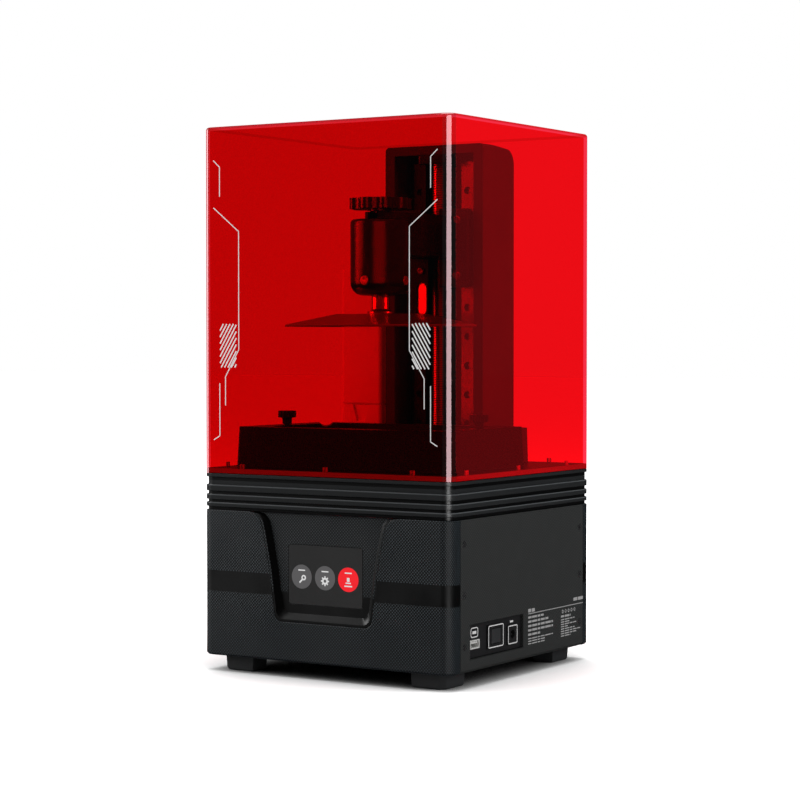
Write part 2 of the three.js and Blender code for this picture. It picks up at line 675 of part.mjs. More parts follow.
function limitSensor(parent) {
  const bottom = DECK_Z + GAP;
  const slot = 1.9; // half of the fork's gap
  const middle = FLAG.y + FLAG.thickness / 2;
  const sensor = box([-26, -14], [middle - 6, middle + 6], [bottom, bottom + 15])
    .subtract(box([-27, -13], [middle - slot, middle + slot], [bottom + 5, bottom + 16]));
  piece(parent, 'limit_sensor', sensor, MATERIALS.darkPlastic);
}

// ---------------------------------------------------------------- carriage

function carriage(parent) {
  const { half, front, back, bottom, top, gap } = CARRIAGE;
  const outline = roundedRectangle(2 * half, top - bottom, 3, [0, (top + bottom) / 2]);
  // the plate is open in its middle above and below the arm
  const plate = standing(softPrism(outline, [-back, -front], 1))
    .subtract(box([-gap, gap], [front - 1, back + 1], [bottom - 1, ARM.bottom]))
    .subtract(box([-gap, gap], [front - 1, back + 1], [ARM.top, top + 1]));
  piece(parent, 'carriage_plate', plate, MATERIALS.blackMetal);

  const blockFront = back + GAP;
  const blockZ = (top + bottom) / 2;
  const railFront = TOWER.web - GAP - 3 - GAP - 8;
  const block = box([-13, 13], [0, 17], [-20, 20])
    .subtract(box([-6.4, 6.4], [railFront - blockFront - 0.4, 18], [-21, 21]));
  for (const [name, side] of [['rail_block_left', -1], ['rail_block_right', 1]]) {
    piece(parent, name, block, MATERIALS.steel, [side * RAIL_X, blockFront, blockZ]);
  }

  // the nut is round at the back and flat where it meets the plate
  const nutHalf = 10.4;
  const nutFace = blockFront - SCREW_Y;
  const nutZ = [ARM.bottom + 1, ARM.bottom + 28];
  const nut = cylinder(nutHalf, nutZ)
    .add(box([-nutHalf, nutHalf], [nutFace, 0], nutZ))
    .intersect(box([-nutHalf - 1, nutHalf + 1], [nutFace, nutHalf + 1], nutZ))
    .subtract(cylinder(SCREW_R + GAP, [ARM.bottom, ARM.top]));
  piece(parent, 'screw_nut', nut, MATERIALS.aluminium, [0, SCREW_Y, 0]);

  platformArm(parent);
  limitFlag(parent);
}

// a deep block that narrows to a fork over the head; the fork is open to the front
function platformArm(parent) {
  const { half, bottom, top, tongue } = ARM;
  const root = CARRIAGE.front - GAP;
  const headBack = HEAD_Y + HEAD.radius;
  const block = softPrism(
    polygon([
      [-half, root], [-half, headBack + 8], [7 - half, headBack + 0.8],
      [half - 7, headBack + 0.8], [half, headBack + 8], [half, root],
    ].reverse()),
    [bottom, top], 1,
  );
  const forkR = 13;
  const fork = cylinder(forkR, [tongue, top], [0, HEAD_Y])
    .add(box([-forkR, forkR], [HEAD_Y, headBack + 6], [tongue, top]));
  const slot = cylinder(4.6, [tongue - 1, top + 1], [0, HEAD_Y], 16)
    .add(box([-4.6, 4.6], [HEAD_Y - forkR - 1, HEAD_Y], [tongue - 1, top + 1]));
  piece(parent, 'platform_arm', block.add(fork).subtract(slot), MATERIALS.blackMetal);
}

// a thin plate below the arm with a long slot for setting its height
function limitFlag(parent) {
  const [x0, x1] = FLAG.x;
  const top = ARM.bottom - GAP;
  const slot = new THREE.Shape();
  const { x: slotX, radius: slotR, bottom: slotBottom, top: slotTop } = FLAG_SLOT;
  slot.absarc(slotX, slotTop, slotR, 0, Math.PI);
  slot.absarc(slotX, slotBottom, slotR, Math.PI, 2 * Math.PI);
  const sheet = polygon([
    [x0, FLAG.bottom], [x1, FLAG.bottom + 3], [x1, top],
    [x0 + 4, top], [x0 + 4, top - 14], [x0, top - 20],
  ]);
  const flat = prism(sheet, [0, FLAG.thickness]).subtract(prism(slot, [-1, FLAG.thickness + 1], 10));
  const flag = standing(flat).translate([0, FLAG.y + FLAG.thickness, 0])
    .add(box([x0 + 4, x1], [FLAG.y, CARRIAGE.front - GAP], [top - 12, top]));
  piece(parent, 'limit_flag', flag, MATERIALS.blackMetal);
}

// ---------------------------------------------------------------- platform head

function platformHead(parent) {
  const head = group(parent, 0, HEAD_Y, 0);
  const { radius, bottom, top, edge } = HEAD;
  const ballRoom = BALL_R + 0.5;
  const throat = 9.6;
  const studR = 4;
  // outside: round lower edge, small round at the top; inside: a seat for the ball, a bore
  // above it and a narrow threaded hole for the knob's stud
  let housing = turned([
    [0, bottom],
    ...arc([radius - edge, bottom + edge], edge, -90, 0, 5),
    ...arc([radius - 3, top - 3], 3, 0, 90, 2),
    [0, top],
  ], 32);
  const bore = cylinder(ballRoom, [BALL_Z, top - 12])
    .add(ballSolid(ballRoom).translate([0, 0, BALL_Z]))
    .add(cylinder(throat, [bottom - 1, BALL_Z]))
    .add(cylinder(studR + GAP, [top - 13, top + 1], [0, 0], 16));
  housing = housing.subtract(bore);
  const screwHole = cylinder(4.3, [ballRoom - 1, radius + 1], [0, 0], 12).rotate([0, 90, 0]);
  for (let i = 0; i < 4; i += 1) {
    housing = housing.subtract(screwHole.translate([0, 0, BALL_Z]).rotate([0, 0, 90 * i]));
  }
  piece(head, 'head_housing', housing, MATERIALS.blackMetal);

  setScrews(head);
  platform(head);
  clampKnob(head, studR);
}

// four cup-head screws that hold the ball, each with a hexagonal socket
function setScrews(head) {
  const { radius } = HEAD;
  const screw = cylinder(3.9, [BALL_R + 0.9, radius + 0.2], [0, 0], 12)
    .subtract(cylinder(2.2, [radius - 2.5, radius + 1], [0, 0], 6))
    .rotate([0, 90, 0]);
  ['right', 'rear', 'left', 'front'].forEach((side, i) => {
    const turnedScrew = screw.rotate([0, 0, 90 * i]);
    piece(head, `set_screw_${side}`, turnedScrew, MATERIALS.steel, [0, 0, BALL_Z]);
  });
}

function platform(head) {
  const { width, depth, bottom, edge, rise, slope } = PLATE;
  const plateTop = bottom + edge + rise;
  const ball = ballSolid(BALL_R);
  const flat = -BALL_R + 2.2; // the ball is cut flat where the stem is screwed on
  const cut = ball.intersect(box([-20, 20], [-20, 20], [flat, 20]));
  piece(head, 'level_ball', cut, MATERIALS.steel, [0, 0, BALL_Z]);

  const stem = turned([
    [0, plateTop + GAP], [11, plateTop + GAP], [11, plateTop + GAP + 1.6], [9.5, plateTop + 3],
    [STEM_R, plateTop + 4.5], [STEM_R, BALL_Z - BALL_R + 1.5], [5.5, BALL_Z + flat - GAP],
    [0, BALL_Z + flat - GAP],
  ]);
  piece(head, 'ball_stem', stem, MATERIALS.steel);

  // a shallow hipped top over a thin edge, so that resin runs off it
  const base = box([-width / 2, width / 2], [-depth / 2, depth / 2], [bottom, bottom + edge]);
  const top = box([-width / 2, width / 2], [-depth / 2, depth / 2], [bottom + edge, plateTop]);
  const hip = drafted(
    top, [bottom + edge, plateTop], [1 - (2 * slope[0]) / width, 1 - (2 * slope[1]) / depth],
  );
  piece(head, 'build_plate', base.add(hip), MATERIALS.aluminium);
}

// a lobed knob on a hub that presses on the arm's fork
function clampKnob(head, studR) {
  const { radius, bottom, top, lobes, hollow } = KNOB;
  const outline = [];
  const steps = lobes * 8;
  for (let i = 0; i < steps; i += 1) {
    const angle = (2 * Math.PI * i) / steps;
    const wave = Math.cos(lobes * angle);
    const r = radius - (hollow / 2) * (1 - Math.sign(wave) * Math.abs(wave) ** 0.6);
    outline.push([r * Math.cos(angle), r * Math.sin(angle)]);
  }
  const knob = softPrism(polygon(outline), [bottom, top], 1)
    .add(cylinder(9, [ARM.top + GAP, bottom + 1]))
    .add(cylinder(studR, [HEAD.top - 8, bottom + 1], [0, 0], 16));
  piece(head, 'clamp_knob', knob, MATERIALS.blackMetal);
}

// ---------------------------------------------------------------- vat

function vat(parent) {
  const { width, depth, top, draft, roomX, roomY } = VAT;
  const centre = group(parent, 0, VAT.y, 0);
  const bottom = DECK_Z + GAP;
  const floor = bottom + 3.4; // the clamped film is the floor of the room
  const outer = drafted(
    softPrism(roundedRectangle(width, depth, 3), [bottom, top], 0.8),
    [bottom, top], [1 - (2 * draft) / width, 1 - (2 * draft) / depth],
  );
  const room = drafted(
    prism(roundedRectangle(2 * roomX, 2 * roomY, 14), [floor - 4, top + 1], 6),
    [floor, top], [1 + 2 / roomX, 1 + 2 / roomY],
  );
  const frameRoom = prism(roundedRectangle(173, 117, 5), [bottom - 1, floor]);
  // a pouring lip in the rear left corner, lower than the rest of the rim
  const lip = cylinder(8, [-20, 20])
    .rotate([90, 0, 0])
    .rotate([0, 0, 35])
    .translate([-88, 49, top + 5.2]);
  let body = outer.subtract(room).subtract(frameRoom).subtract(lip);
  for (const x of [-VAT_KNOB_X, VAT_KNOB_X]) {
    body = body.subtract(cylinder(STUD_HOLE_R, [bottom - 1, top + 1], [x, 0], 12));
  }
  piece(centre, 'vat_body', body, MATERIALS.blackMetal);

  const frame = prism(roundedRectangle(172, 116, 4.5), [bottom + GAP, floor - 1])
    .subtract(prism(roundedRectangle(2 * roomX + 1, 2 * roomY + 1, 14), [0, 300]));
  piece(centre, 'film_frame', frame, MATERIALS.steel);

  const sheet = roundedRectangle(2 * roomX + 12, 2 * roomY + 12, 12);
  const film = prism(sheet, [floor - 0.7, floor - GAP]);
  piece(centre, 'release_film', film, MATERIALS.film);

  vatKnobs(centre);
}

// a round head on a collar, with a threaded stud that reaches into the deck
function vatKnobs(centre) {
  const seat = VAT.top + GAP;
  const [headR, collarR, studR] = [7.7, 4, 2.6];
  const knob = cylinder(headR, [seat + 5.5, seat + 11.2])
    .add(cylinder(collarR, [seat, seat + 6], [0, 0], 16))
    .add(cylinder(studR, [DECK_Z - 2, seat + 1], [0, 0], 12));
  piece(centre, 'vat_knob_left', knob, MATERIALS.darkPlastic, [-VAT_KNOB_X, 0, 0]);
  piece(centre, 'vat_knob_right', knob, MATERIALS.darkPlastic, [VAT_KNOB_X, 0, 0]);
}

// ---------------------------------------------------------------- air filter and cover

function airFilter(parent) {
  const { x, y, width, depth, seam, top } = FILTER;
  const unit = group(parent, x, y, 0);
  const bottom = DECK_Z + GAP;
  const outline = roundedRectangle(width, depth, 4);
  const frontY = -depth / 2;
  // a tapering finger notch under the seam
  const notch = standing(
    prism(polygon([[-4.3, seam - 15], [4.3, seam - 15], [9, seam + 1], [-9, seam + 1]]),
      [-frontY - 2, -frontY + 2]),
  );
  const dock = prism(outline, [bottom, seam - GAP]).subtract(notch)
    .subtract(box([-16, 16], [-9, 9], [bottom - 1, seam - 8]));
  piece(unit, 'filter_dock', dock, MATERIALS.filter);

  const housing = softPrism(outline, [seam, top], 1.2)
    .subtract(box([4 - width / 2, width / 2 - 4], [4 - depth / 2, depth / 2 - 4], [seam - 1, top - 12]));
  const intake = [];
  for (let slotX = -12; slotX <= 12; slotX += 6) {
    intake.push(box([slotX - 1.4, slotX + 1.4], [-9, 9], [top - 14, top + 1]));
  }
  const vented = intake.reduce((body, slot) => body.subtract(slot), housing);
  piece(unit, 'air_filter', vented, MATERIALS.filter);
}

function cover(parent) {
  const bottom = RIM_Z + GAP;
  const outer = softPrism(
    roundedRectangle(WIDTH, DEPTH, CORNER), [bottom - 3, COVER_TOP], 2.4, 2, 5,
  );
  const below = box([-WIDTH, WIDTH], [-DEPTH, DEPTH], [bottom - 4, bottom]);
  const inner = prism(
    roundedRectangle(WIDTH - 2 * WALL, DEPTH - 2 * WALL, CORNER - WALL),
    [bottom - 5, COVER_TOP - WALL], 5,
  );
  piece(parent, 'cover', outer.subtract(below).subtract(inner), MATERIALS.cover);
}

// ---------------------------------------------------------------- the whole printer

outerPanels(group(printer));
upperCasing(group(printer));
bottomPlate(group(printer));
feet(group(printer));
controlPanel(group(printer));
ports(group(printer));
lightEngine(printer);
mainBoard(printer);
fan(printer);
tower(group(printer));
liftingAxis(group(printer));
limitSensor(group(printer));
carriage(group(printer));
platformHead(printer);
vat(printer);
airFilter(printer);
cover(group(printer));

export default printer;
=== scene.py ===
import json
import math

import bmesh
import bpy
from mathutils import Matrix, Vector


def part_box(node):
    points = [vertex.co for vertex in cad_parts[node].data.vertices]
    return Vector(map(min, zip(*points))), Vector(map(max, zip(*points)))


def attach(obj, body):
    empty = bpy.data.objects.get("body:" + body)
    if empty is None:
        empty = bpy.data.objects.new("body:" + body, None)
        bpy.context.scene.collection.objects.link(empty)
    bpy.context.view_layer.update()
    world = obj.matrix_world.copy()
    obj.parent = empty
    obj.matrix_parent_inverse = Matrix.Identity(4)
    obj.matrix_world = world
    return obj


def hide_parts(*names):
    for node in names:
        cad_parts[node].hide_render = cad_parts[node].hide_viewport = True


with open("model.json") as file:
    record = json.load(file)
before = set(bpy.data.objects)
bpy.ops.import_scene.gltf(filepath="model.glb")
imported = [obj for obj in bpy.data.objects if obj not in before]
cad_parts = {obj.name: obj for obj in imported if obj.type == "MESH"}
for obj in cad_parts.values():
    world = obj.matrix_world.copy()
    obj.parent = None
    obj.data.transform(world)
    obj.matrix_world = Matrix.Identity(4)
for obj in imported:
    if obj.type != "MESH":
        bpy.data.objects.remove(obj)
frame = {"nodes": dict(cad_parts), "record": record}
for leftover in ("Cube", "Light", "Camera"):
    if leftover in bpy.data.objects:
        bpy.data.objects.remove(bpy.data.objects[leftover])
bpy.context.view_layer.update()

# The looks of a desktop resin printer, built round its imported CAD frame. Everything is in
# metres in the frame's own axes: +X right, +Y back, +Z up, with the table at Z = 0.

MM = 0.001
GAP = 0.3 * MM  # between pieces that touch, as in the frame
THIN, SINK = 0.06 * MM, 0.02 * MM  # how thick a printed mark is, and how deep it sits
FAR = 1.0

# ------------------------------------------------------------------ sizes from the frame


def spans(node):
    """The limits of a CAD node on each axis: ((x0, x1), (y0, y1), (z0, z1))."""
    low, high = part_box(node)
    return tuple(zip(low, high))


def middle(span):
    return (span[0] + span[1]) / 2


def length(span):
    return span[1] - span[0]


COVER_X, COVER_Y, COVER_Z = spans("cover")
WIDTH, DEPTH = length(COVER_X), length(COVER_Y)
FRONT, BACK, RIGHT = COVER_Y[0], COVER_Y[1], COVER_X[1]
CORNER = 10 * MM
WALL = 3 * MM
PANEL_Z = spans("front_shell")[2]
CASING_Z = spans("upper_casing")[2]
SEAM_Y = 101 * MM
BUMP_H = 3.6 * MM
DECK_Z = CASING_Z[1] - BUMP_H
RIM_Z = COVER_Z[0] - GAP
LEDGE = WALL + 0.4 * MM
RIB_DEPTH = 1.6 * MM
# each groove's lower and upper edge, in millimetres
GROOVES = [(133, 135.6), (138.9, 141.4), (145.5, 148.4), (153.3, 159.9)]

HEAD_Y = middle(spans("head_housing")[1])
SCREW = (0.0, middle(spans("lead_screw")[1]))
VAT_Y = middle(spans("vat_body")[1])

# ------------------------------------------------------------------ mesh kit

ON_AXIS = 0.001 * MM


def build(verts, faces):
    """A closed mesh object with its faces pointing out."""
    mesh = bpy.data.meshes.new("solid")
    mesh.from_pydata([tuple(v) for v in verts], [], faces)
    shape = bmesh.new()
    shape.from_mesh(mesh)
    bmesh.ops.recalc_face_normals(shape, faces=shape.faces)
    shape.to_mesh(mesh)
    shape.free()
    solid = bpy.data.objects.new("solid", mesh)
    bpy.context.scene.collection.objects.link(solid)
    return solid


def rounded(width, depth, radius, steps=10, centre=(0, 0)):
    """Points round a rectangle with round corners, anticlockwise."""
    points = []
    reach_x, reach_y = width / 2 - radius, depth / 2 - radius
    for quarter in range(4):
        side_x = 1 if quarter in (0, 3) else -1
        side_y = 1 if quarter in (0, 1) else -1
        corner = (centre[0] + side_x * reach_x, centre[1] + side_y * reach_y)
        for step in range(steps + 1):
            angle = math.radians(90 * quarter + 90 * step / steps)
            points.append(polar(corner, radius, angle))
    return points


def polar(centre, radius, angle):
    """The point at a distance and an angle from a centre."""
    return (centre[0] + radius * math.cos(angle), centre[1] + radius * math.sin(angle))


def circle(radius, steps=48, centre=(0, 0)):
    return [polar(centre, radius, 2 * math.pi * i / steps) for i in range(steps)]


def level(outline, z):
    """An outline at a height."""
    return [(x, y, z) for x, y in outline]


def lofted(loops, closed=False):
    """A solid through loops with as many points each, capped at both ends or closed on itself."""
    count = len(loops[0])
    verts = [point for loop in loops for point in loop]
    faces = []
    for row in range(len(loops) if closed else len(loops) - 1):
        here, there = row * count, (row + 1) % len(loops) * count
        for i in range(count):
            j = (i + 1) % count
            faces.append((here + i, here + j, there + j, there + i))
    if not closed:
        faces.append(tuple(range(count)))
        faces.append(tuple(range((len(loops) - 1) * count, len(loops) * count)))
    return build(verts, faces)


def stack(levels, width, depth, radius, steps=10, centre=(0, 0), closed=False):
    """A solid with round vertical corners whose side follows (inset, height) levels."""
    loops = []
    for inset, z in levels:
        corner = max(radius - inset, 0.1 * MM)
        outline = rounded(width - 2 * inset, depth - 2 * inset, corner, steps, centre)
        loops.append(level(outline, z))
    return lofted(loops, closed)


def extruded(outline, z0, z1):
    return lofted([level(outline, z0), level(outline, z1)])


def flat_ring(outer, inner):
    """A thin flat ring between two outlines."""
    return lofted(
        [level(outer, 0), level(outer, THIN), level(inner, THIN), level(inner, 0)], closed=True
    )


def block(x, y, z):
    """A plain box between limits, as a cutter or a blank."""
    corners = [(x[0], y[0]), (x[1], y[0]), (x[1], y[1]), (x[0], y[1])]
    return extruded(corners, z[0], z[1])


def turned(profile, steps=64, centre=(0, 0)):
    """A profile of (radius, height) turned about an upright axis and closed onto it."""
    profile = [(0, profile[0][1]), *profile]
    if profile[-1][0] > ON_AXIS:
        profile.append((0, profile[-1][1]))
    verts, rings = [], []
    for radius, z in profile:
        if radius < ON_AXIS:
            rings.append([len(verts)])
            verts.append((*centre, z))
        else:
            rings.append(list(range(len(verts), len(verts) + steps)))
            verts += level(circle(radius, steps, centre), z)
    faces = []
    for below, above in zip(rings, rings[1:]):
        for i in range(steps):
            j = (i + 1) % steps
            if len(below) == 1:
                faces.append((below[0], above[j], above[i]))
            elif len(above) == 1:
                faces.append((below[i], below[j], above[0]))
            else:
                faces.append((below[i], below[j], above[j], above[i]))
    return build(verts, faces)


def arc(centre, radius, start, end, steps):
    """Points on an arc between two angles in degrees."""
    angles = [math.radians(start + (end - start) * i / steps) for i in range(steps + 1)]
    return [polar(centre, radius, angle) for angle in angles]


def fluted(count, per_flute, radius_at, centre):
    """Points round a centre, whose distance follows a wave with so many crests."""
    points = []
    for i in range(count * per_flute):
        angle = 2 * math.pi * i / (count * per_flute)
        points.append(polar(centre, radius_at(math.cos(count * angle)), angle))
    return points


def long_hole(centre_x, z0, z1, radius):
    """An upright slot with round ends, as points in XZ."""
    return arc((centre_x, z1), radius, 0, 180, 12) + arc((centre_x, z0), radius, 180, 360, 12)


def moved(solid, matrix):
    solid.data.transform(matrix)
    if matrix.determinant() < 0:
        solid.data.flip_normals()
    return solid


def at(x, y, z):
    return Matrix.Translation((x, y, z))


def turn(degrees, axis):
    return Matrix.Rotation(math.radians(degrees), 4, axis)


# a solid made flat in XY stands up facing the front: its Y becomes height, its height depth
FACING_FRONT = turn(90, "X")
# the same, facing right: its X runs to the back, its Y is height, its height points out
FACING_RIGHT = Matrix(((0, 0, 1, 0), (1, 0, 0, 0), (0, 1, 0, 0), (0, 0, 0, 1)))


def standing(outline, front, back):
    """A solid whose outline is drawn in XZ, between two depths."""
    return moved(extruded(outline, -back, -front), FACING_FRONT)


def cylinder(radius, z0, z1, steps, centre=(0, 0)):
    return extruded(circle(radius, steps, centre), z0, z1)


def joined(solids):
    """Several solids as one object."""
    shape = bmesh.new()
    for solid in solids:
        shape.from_mesh(solid.data)
    first = solids[0]
    shape.to_mesh(first.data)
    shape.free()
    for solid in solids[1:]:
        bpy.data.objects.remove(solid)
    return first


def combine(target, cutter, operation):
    modifier = target.modifiers.new("combine", "BOOLEAN")
    modifier.operation = operation
    modifier.solver = "EXACT"
    modifier.object = cutter
    graph = bpy.context.evaluated_depsgraph_get()
    mesh = bpy.data.meshes.new_from_object(target.evaluated_get(graph))
    target.modifiers.clear()
    target.data = mesh
    bpy.data.objects.remove(cutter)
    return target


def cut(target, *cutters):
    for cutter in cutters:
        combine(target, cutter, "DIFFERENCE")
    return target


def add(target, *others):
    for other in others:
        combine(target, other, "UNION")
    return target


def soften(piece, width, segments):
    """Rounds the sharp edges and keeps the flat faces flat."""
    for polygon in piece.data.polygons:
        polygon.use_smooth = True
    bevel = piece.modifiers.new("edges", "BEVEL")
    bevel.width = width
    bevel.segments = segments
    bevel.limit_method = "ANGLE"
    bevel.angle_limit = math.radians(35)
    bevel.use_clamp_overlap = True
    weighted = piece.modifiers.new("normals", "WEIGHTED_NORMAL")
    weighted.keep_sharp = False
    weighted.weight = 60


def finish_piece(solid, name, look, body, edge=0.4 * MM, replaces=None, segments=2):
    """Names a solid, gives it its look and edges, and makes it ride on its body."""
    solid.name = name
    solid.data.name = name
    solid.data.materials.clear()
    solid.data.materials.append(LOOKS[look])
    if edge:
        soften(solid, edge, segments)
    else:
        for polygon in solid.data.polygons:
            polygon.use_smooth = False
    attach(solid, body)
    if replaces:
        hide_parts(replaces)
    return solid


BODY_OF = {n: b for b, nodes in frame["record"]["behaviour"]["bodies"].items() for n in nodes}


def refined(node, look, edge=0.4 * MM):
    """The CAD node's own shape with its flat facets merged and its edges rounded."""
    solid = bpy.data.objects.new("solid", frame["nodes"][node].data.copy())
    bpy.context.scene.collection.objects.link(solid)
    shape = bmesh.new()
    shape.from_mesh(solid.data)
    bmesh.ops.remove_doubles(shape, verts=shape.verts, dist=0.002 * MM)
    bmesh.ops.dissolve_limit(
        shape, angle_limit=math.radians(1), verts=shape.verts, edges=shape.edges
    )
    shape.to_mesh(solid.data)
    shape.free()
    return finish_piece(solid, node + "_detailed", look, BODY_OF[node], edge, node)


# ------------------------------------------------------------------ materials


class Tree:
    """A short way to write the nodes of a material or a world."""

    def __init__(self, name, kind="materials"):
        self.owner = getattr(bpy.data, kind).new(name)
        self.owner.use_nodes = True
        self.nodes = self.owner.node_tree.nodes
        self.shader = self.nodes.get("Principled BSDF")

    def node(self, kind, **values):
        made = self.nodes.new(kind)
        for key, value in values.items():
            if key in made.inputs:
                made.inputs[key].default_value = value
            else:
                setattr(made, key, value)
        return made

    def link(self, source, target):
        self.owner.node_tree.links.new(source, target)

    def position(self):
        return self.node("ShaderNodeTexCoord").outputs["Object"]

    def axes(self, vector):
        """A vector's X, Y and Z."""
        made = self.node("ShaderNodeSeparateXYZ")
        self.link(vector, made.inputs[0])
        return made.outputs

    def maths(self, operation, first, second=None):
        made = self.node("ShaderNodeMath", operation=operation)
        for socket, value in zip(made.inputs, (first, second)):
            if isinstance(value, (int, float)):
                socket.default_value = value
            elif value is not None:
                self.link(value, socket)
        return made.outputs[0]

    def product(self, first, second):
        return self.maths("MULTIPLY", first, second)

    def above(self, value, limit):
        return self.maths("GREATER_THAN", value, limit)

    def below(self, value, limit):
        return self.maths("LESS_THAN", value, limit)

    def between(self, value, low, high):
        """1 where a value lies between two limits, otherwise 0."""
        return self.product(self.above(value, low), self.below(value, high))

    def noise(self, scale, detail=3.0, stretch=(1, 1, 1)):
        """Noise whose scale is given as features per metre."""
        mapping = self.node("ShaderNodeMapping", Scale=stretch)
        self.link(self.position(), mapping.inputs["Vector"])
        texture = self.node("ShaderNodeTexNoise", Scale=scale, Detail=detail)
        self.link(mapping.outputs[0], texture.inputs["Vector"])
        return texture.outputs["Fac"]

    def ramp(self, factor, low, high, start=0.35, end=0.65):
        """Maps a factor between start and end to a range of values or colours."""
        share = self.node("ShaderNodeMapRange", **{"From Min": start, "From Max": end})
        self.link(factor, share.inputs["Value"])
        if not isinstance(low, tuple):
            share.inputs["To Min"].default_value = low
            share.inputs["To Max"].default_value = high
            return share.outputs[0]
        mix = self.node("ShaderNodeMix", data_type="RGBA")
        self.link(share.outputs[0], mix.inputs["Factor"])
        for index, colour in ((6, low), (7, high)):
            mix.inputs[index].default_value = (*colour, 1)
        return mix.outputs[2]

    def set(self, **values):
        for key, value in values.items():
            name = key.replace("_", " ")
            if isinstance(value, bpy.types.NodeSocket):
                self.link(value, self.shader.inputs[name])
            else:
                self.shader.inputs[name].default_value = value

    def bump(self, height, distance):
        made = self.node("ShaderNodeBump", Distance=distance)
        self.link(height, made.inputs["Height"])
        self.link(made.outputs["Normal"], self.shader.inputs["Normal"])

    def mixed(self, factor, first, second):
        """Two shaders mixed by a factor."""
        made = self.node("ShaderNodeMixShader")
        for socket, source in zip(made.inputs, (factor, first, second)):
            self.link(source, socket)
        return made.outputs[0]

    def finished(self, shader=None):
        """Makes a shader the one that shows, unless the usual one does, and gives the owner."""
        if shader is not None:
            output = next(node for node in self.nodes if node.type.startswith("OUTPUT"))
            self.link(shader, output.inputs["Surface"])
        return self.owner


def scaled(colour, factor):
    return tuple(channel * factor for channel in colour)


def moulded_plastic(name, dark, light, roughness, grain=0.012 * MM, grain_scale=2600):
    """Plastic from a lightly sparked mould: fine grain, and slow changes in tone and shine."""
    tree = Tree(name)
    tree.set(
        Base_Color=tree.ramp(tree.noise(14), dark, light),
        Roughness=tree.ramp(tree.noise(45), roughness - 0.05, roughness + 0.06),
    )
    tree.bump(tree.noise(grain_scale, 2.0), grain)
    return tree.finished()


def ribbed_plastic(name, shade, lip_highlight, roughness):
    """Plastic with painted shade in the upper part of each groove and a painted highlight on the
    lip under each groove.
    """
    tree = Tree(name)
    height = tree.axes(tree.position())["Z"]
    tone = tree.maths("ADD", tree.product(tree.noise(14), 0.08), 0.16)
    lip, shaded_height = 0.8, 2.9
    for low, high in GROOVES:
        # a painted highlight on the lip just under the groove, and painted shade in the groove's
        # upper part
        bright = tree.between(height, (low - lip) * MM, low * MM)
        dark = tree.between(height, max(low, high - shaded_height) * MM, high * MM)
        tone = tree.maths("ADD", tone, bright)
        tone = tree.maths("ADD", tone, tree.product(dark, -0.2))
    tree.set(Base_Color=tree.ramp(tone, shade, lip_highlight, 0, 1), Roughness=roughness)
    tree.bump(tree.noise(2600, 2.0), 0.012 * MM)
    return tree.finished()


def woven_plastic(name, dark, light, pitch, depth, band=None, flat_below=None):
    """Moulded plastic with a fine diagonal weave of raised dots, each dot coloured lighter as a
    painted highlight. It is left smooth in a band of heights, or below a height and on every face
    that doesn't look to the front, and there it takes the dark colour, with no painted highlight."""
    tree = Tree(name)
    x, y, height = tree.axes(tree.position())
    wave = 2 * math.pi / pitch
    columns = tree.maths("COSINE", tree.product(tree.maths("ADD", x, y), wave))
    rows = tree.maths("COSINE", tree.product(height, wave))
    dots = tree.product(columns, rows)
    smooth = None
    if band:
        smooth = tree.between(height, *band)
    if flat_below:
        normal = tree.axes(tree.node("ShaderNodeNewGeometry").outputs["Normal"])
        sideways = tree.above(normal["Y"], -0.95)
        smooth = tree.maths("MAXIMUM", sideways, tree.below(height, flat_below))
    if smooth is not None:
        dots = tree.maths("SUBTRACT", dots, tree.product(smooth, 2.0))
    # the light end of the colour ramp is a painted highlight on each raised dot
    tree.set(
        Base_Color=tree.ramp(dots, dark, light, 0.0, 0.9),
        Roughness=tree.ramp(tree.noise(30), 0.40, 0.48),
    )
    tree.bump(tree.maths("MAXIMUM", dots, -0.6), depth)
    return tree.finished()


def metal(name, colour, roughness, stretch=(1, 1, 1), metallic=1.0, spread=0.08, mark=0.006 * MM):
    """Machined or anodised metal: fine tool marks along one direction change its shine."""
    tree = Tree(name)
    marks = tree.noise(900, 2.0, stretch)
    tree.set(
        Base_Color=tree.ramp(marks, scaled(colour, 0.86), colour),
        Roughness=tree.ramp(marks, roughness - spread, roughness + spread),
        Metallic=metallic,
    )
    tree.bump(marks, mark)
    return tree.finished()


def flat_ink(name, colour, glow=0.0):
    """Printed ink, or a part of the display that glows and is dark by itself."""
    low, high = (0.15, 0.2) if glow else (0.95, 1.0)
    tree = Tree(name)
    tree.set(
        Base_Color=tree.ramp(tree.noise(700), scaled(colour, low), scaled(colour, high)),
        Roughness=0.4, Emission_Color=(*colour, 1), Emission_Strength=glow,
    )
    return tree.finished()


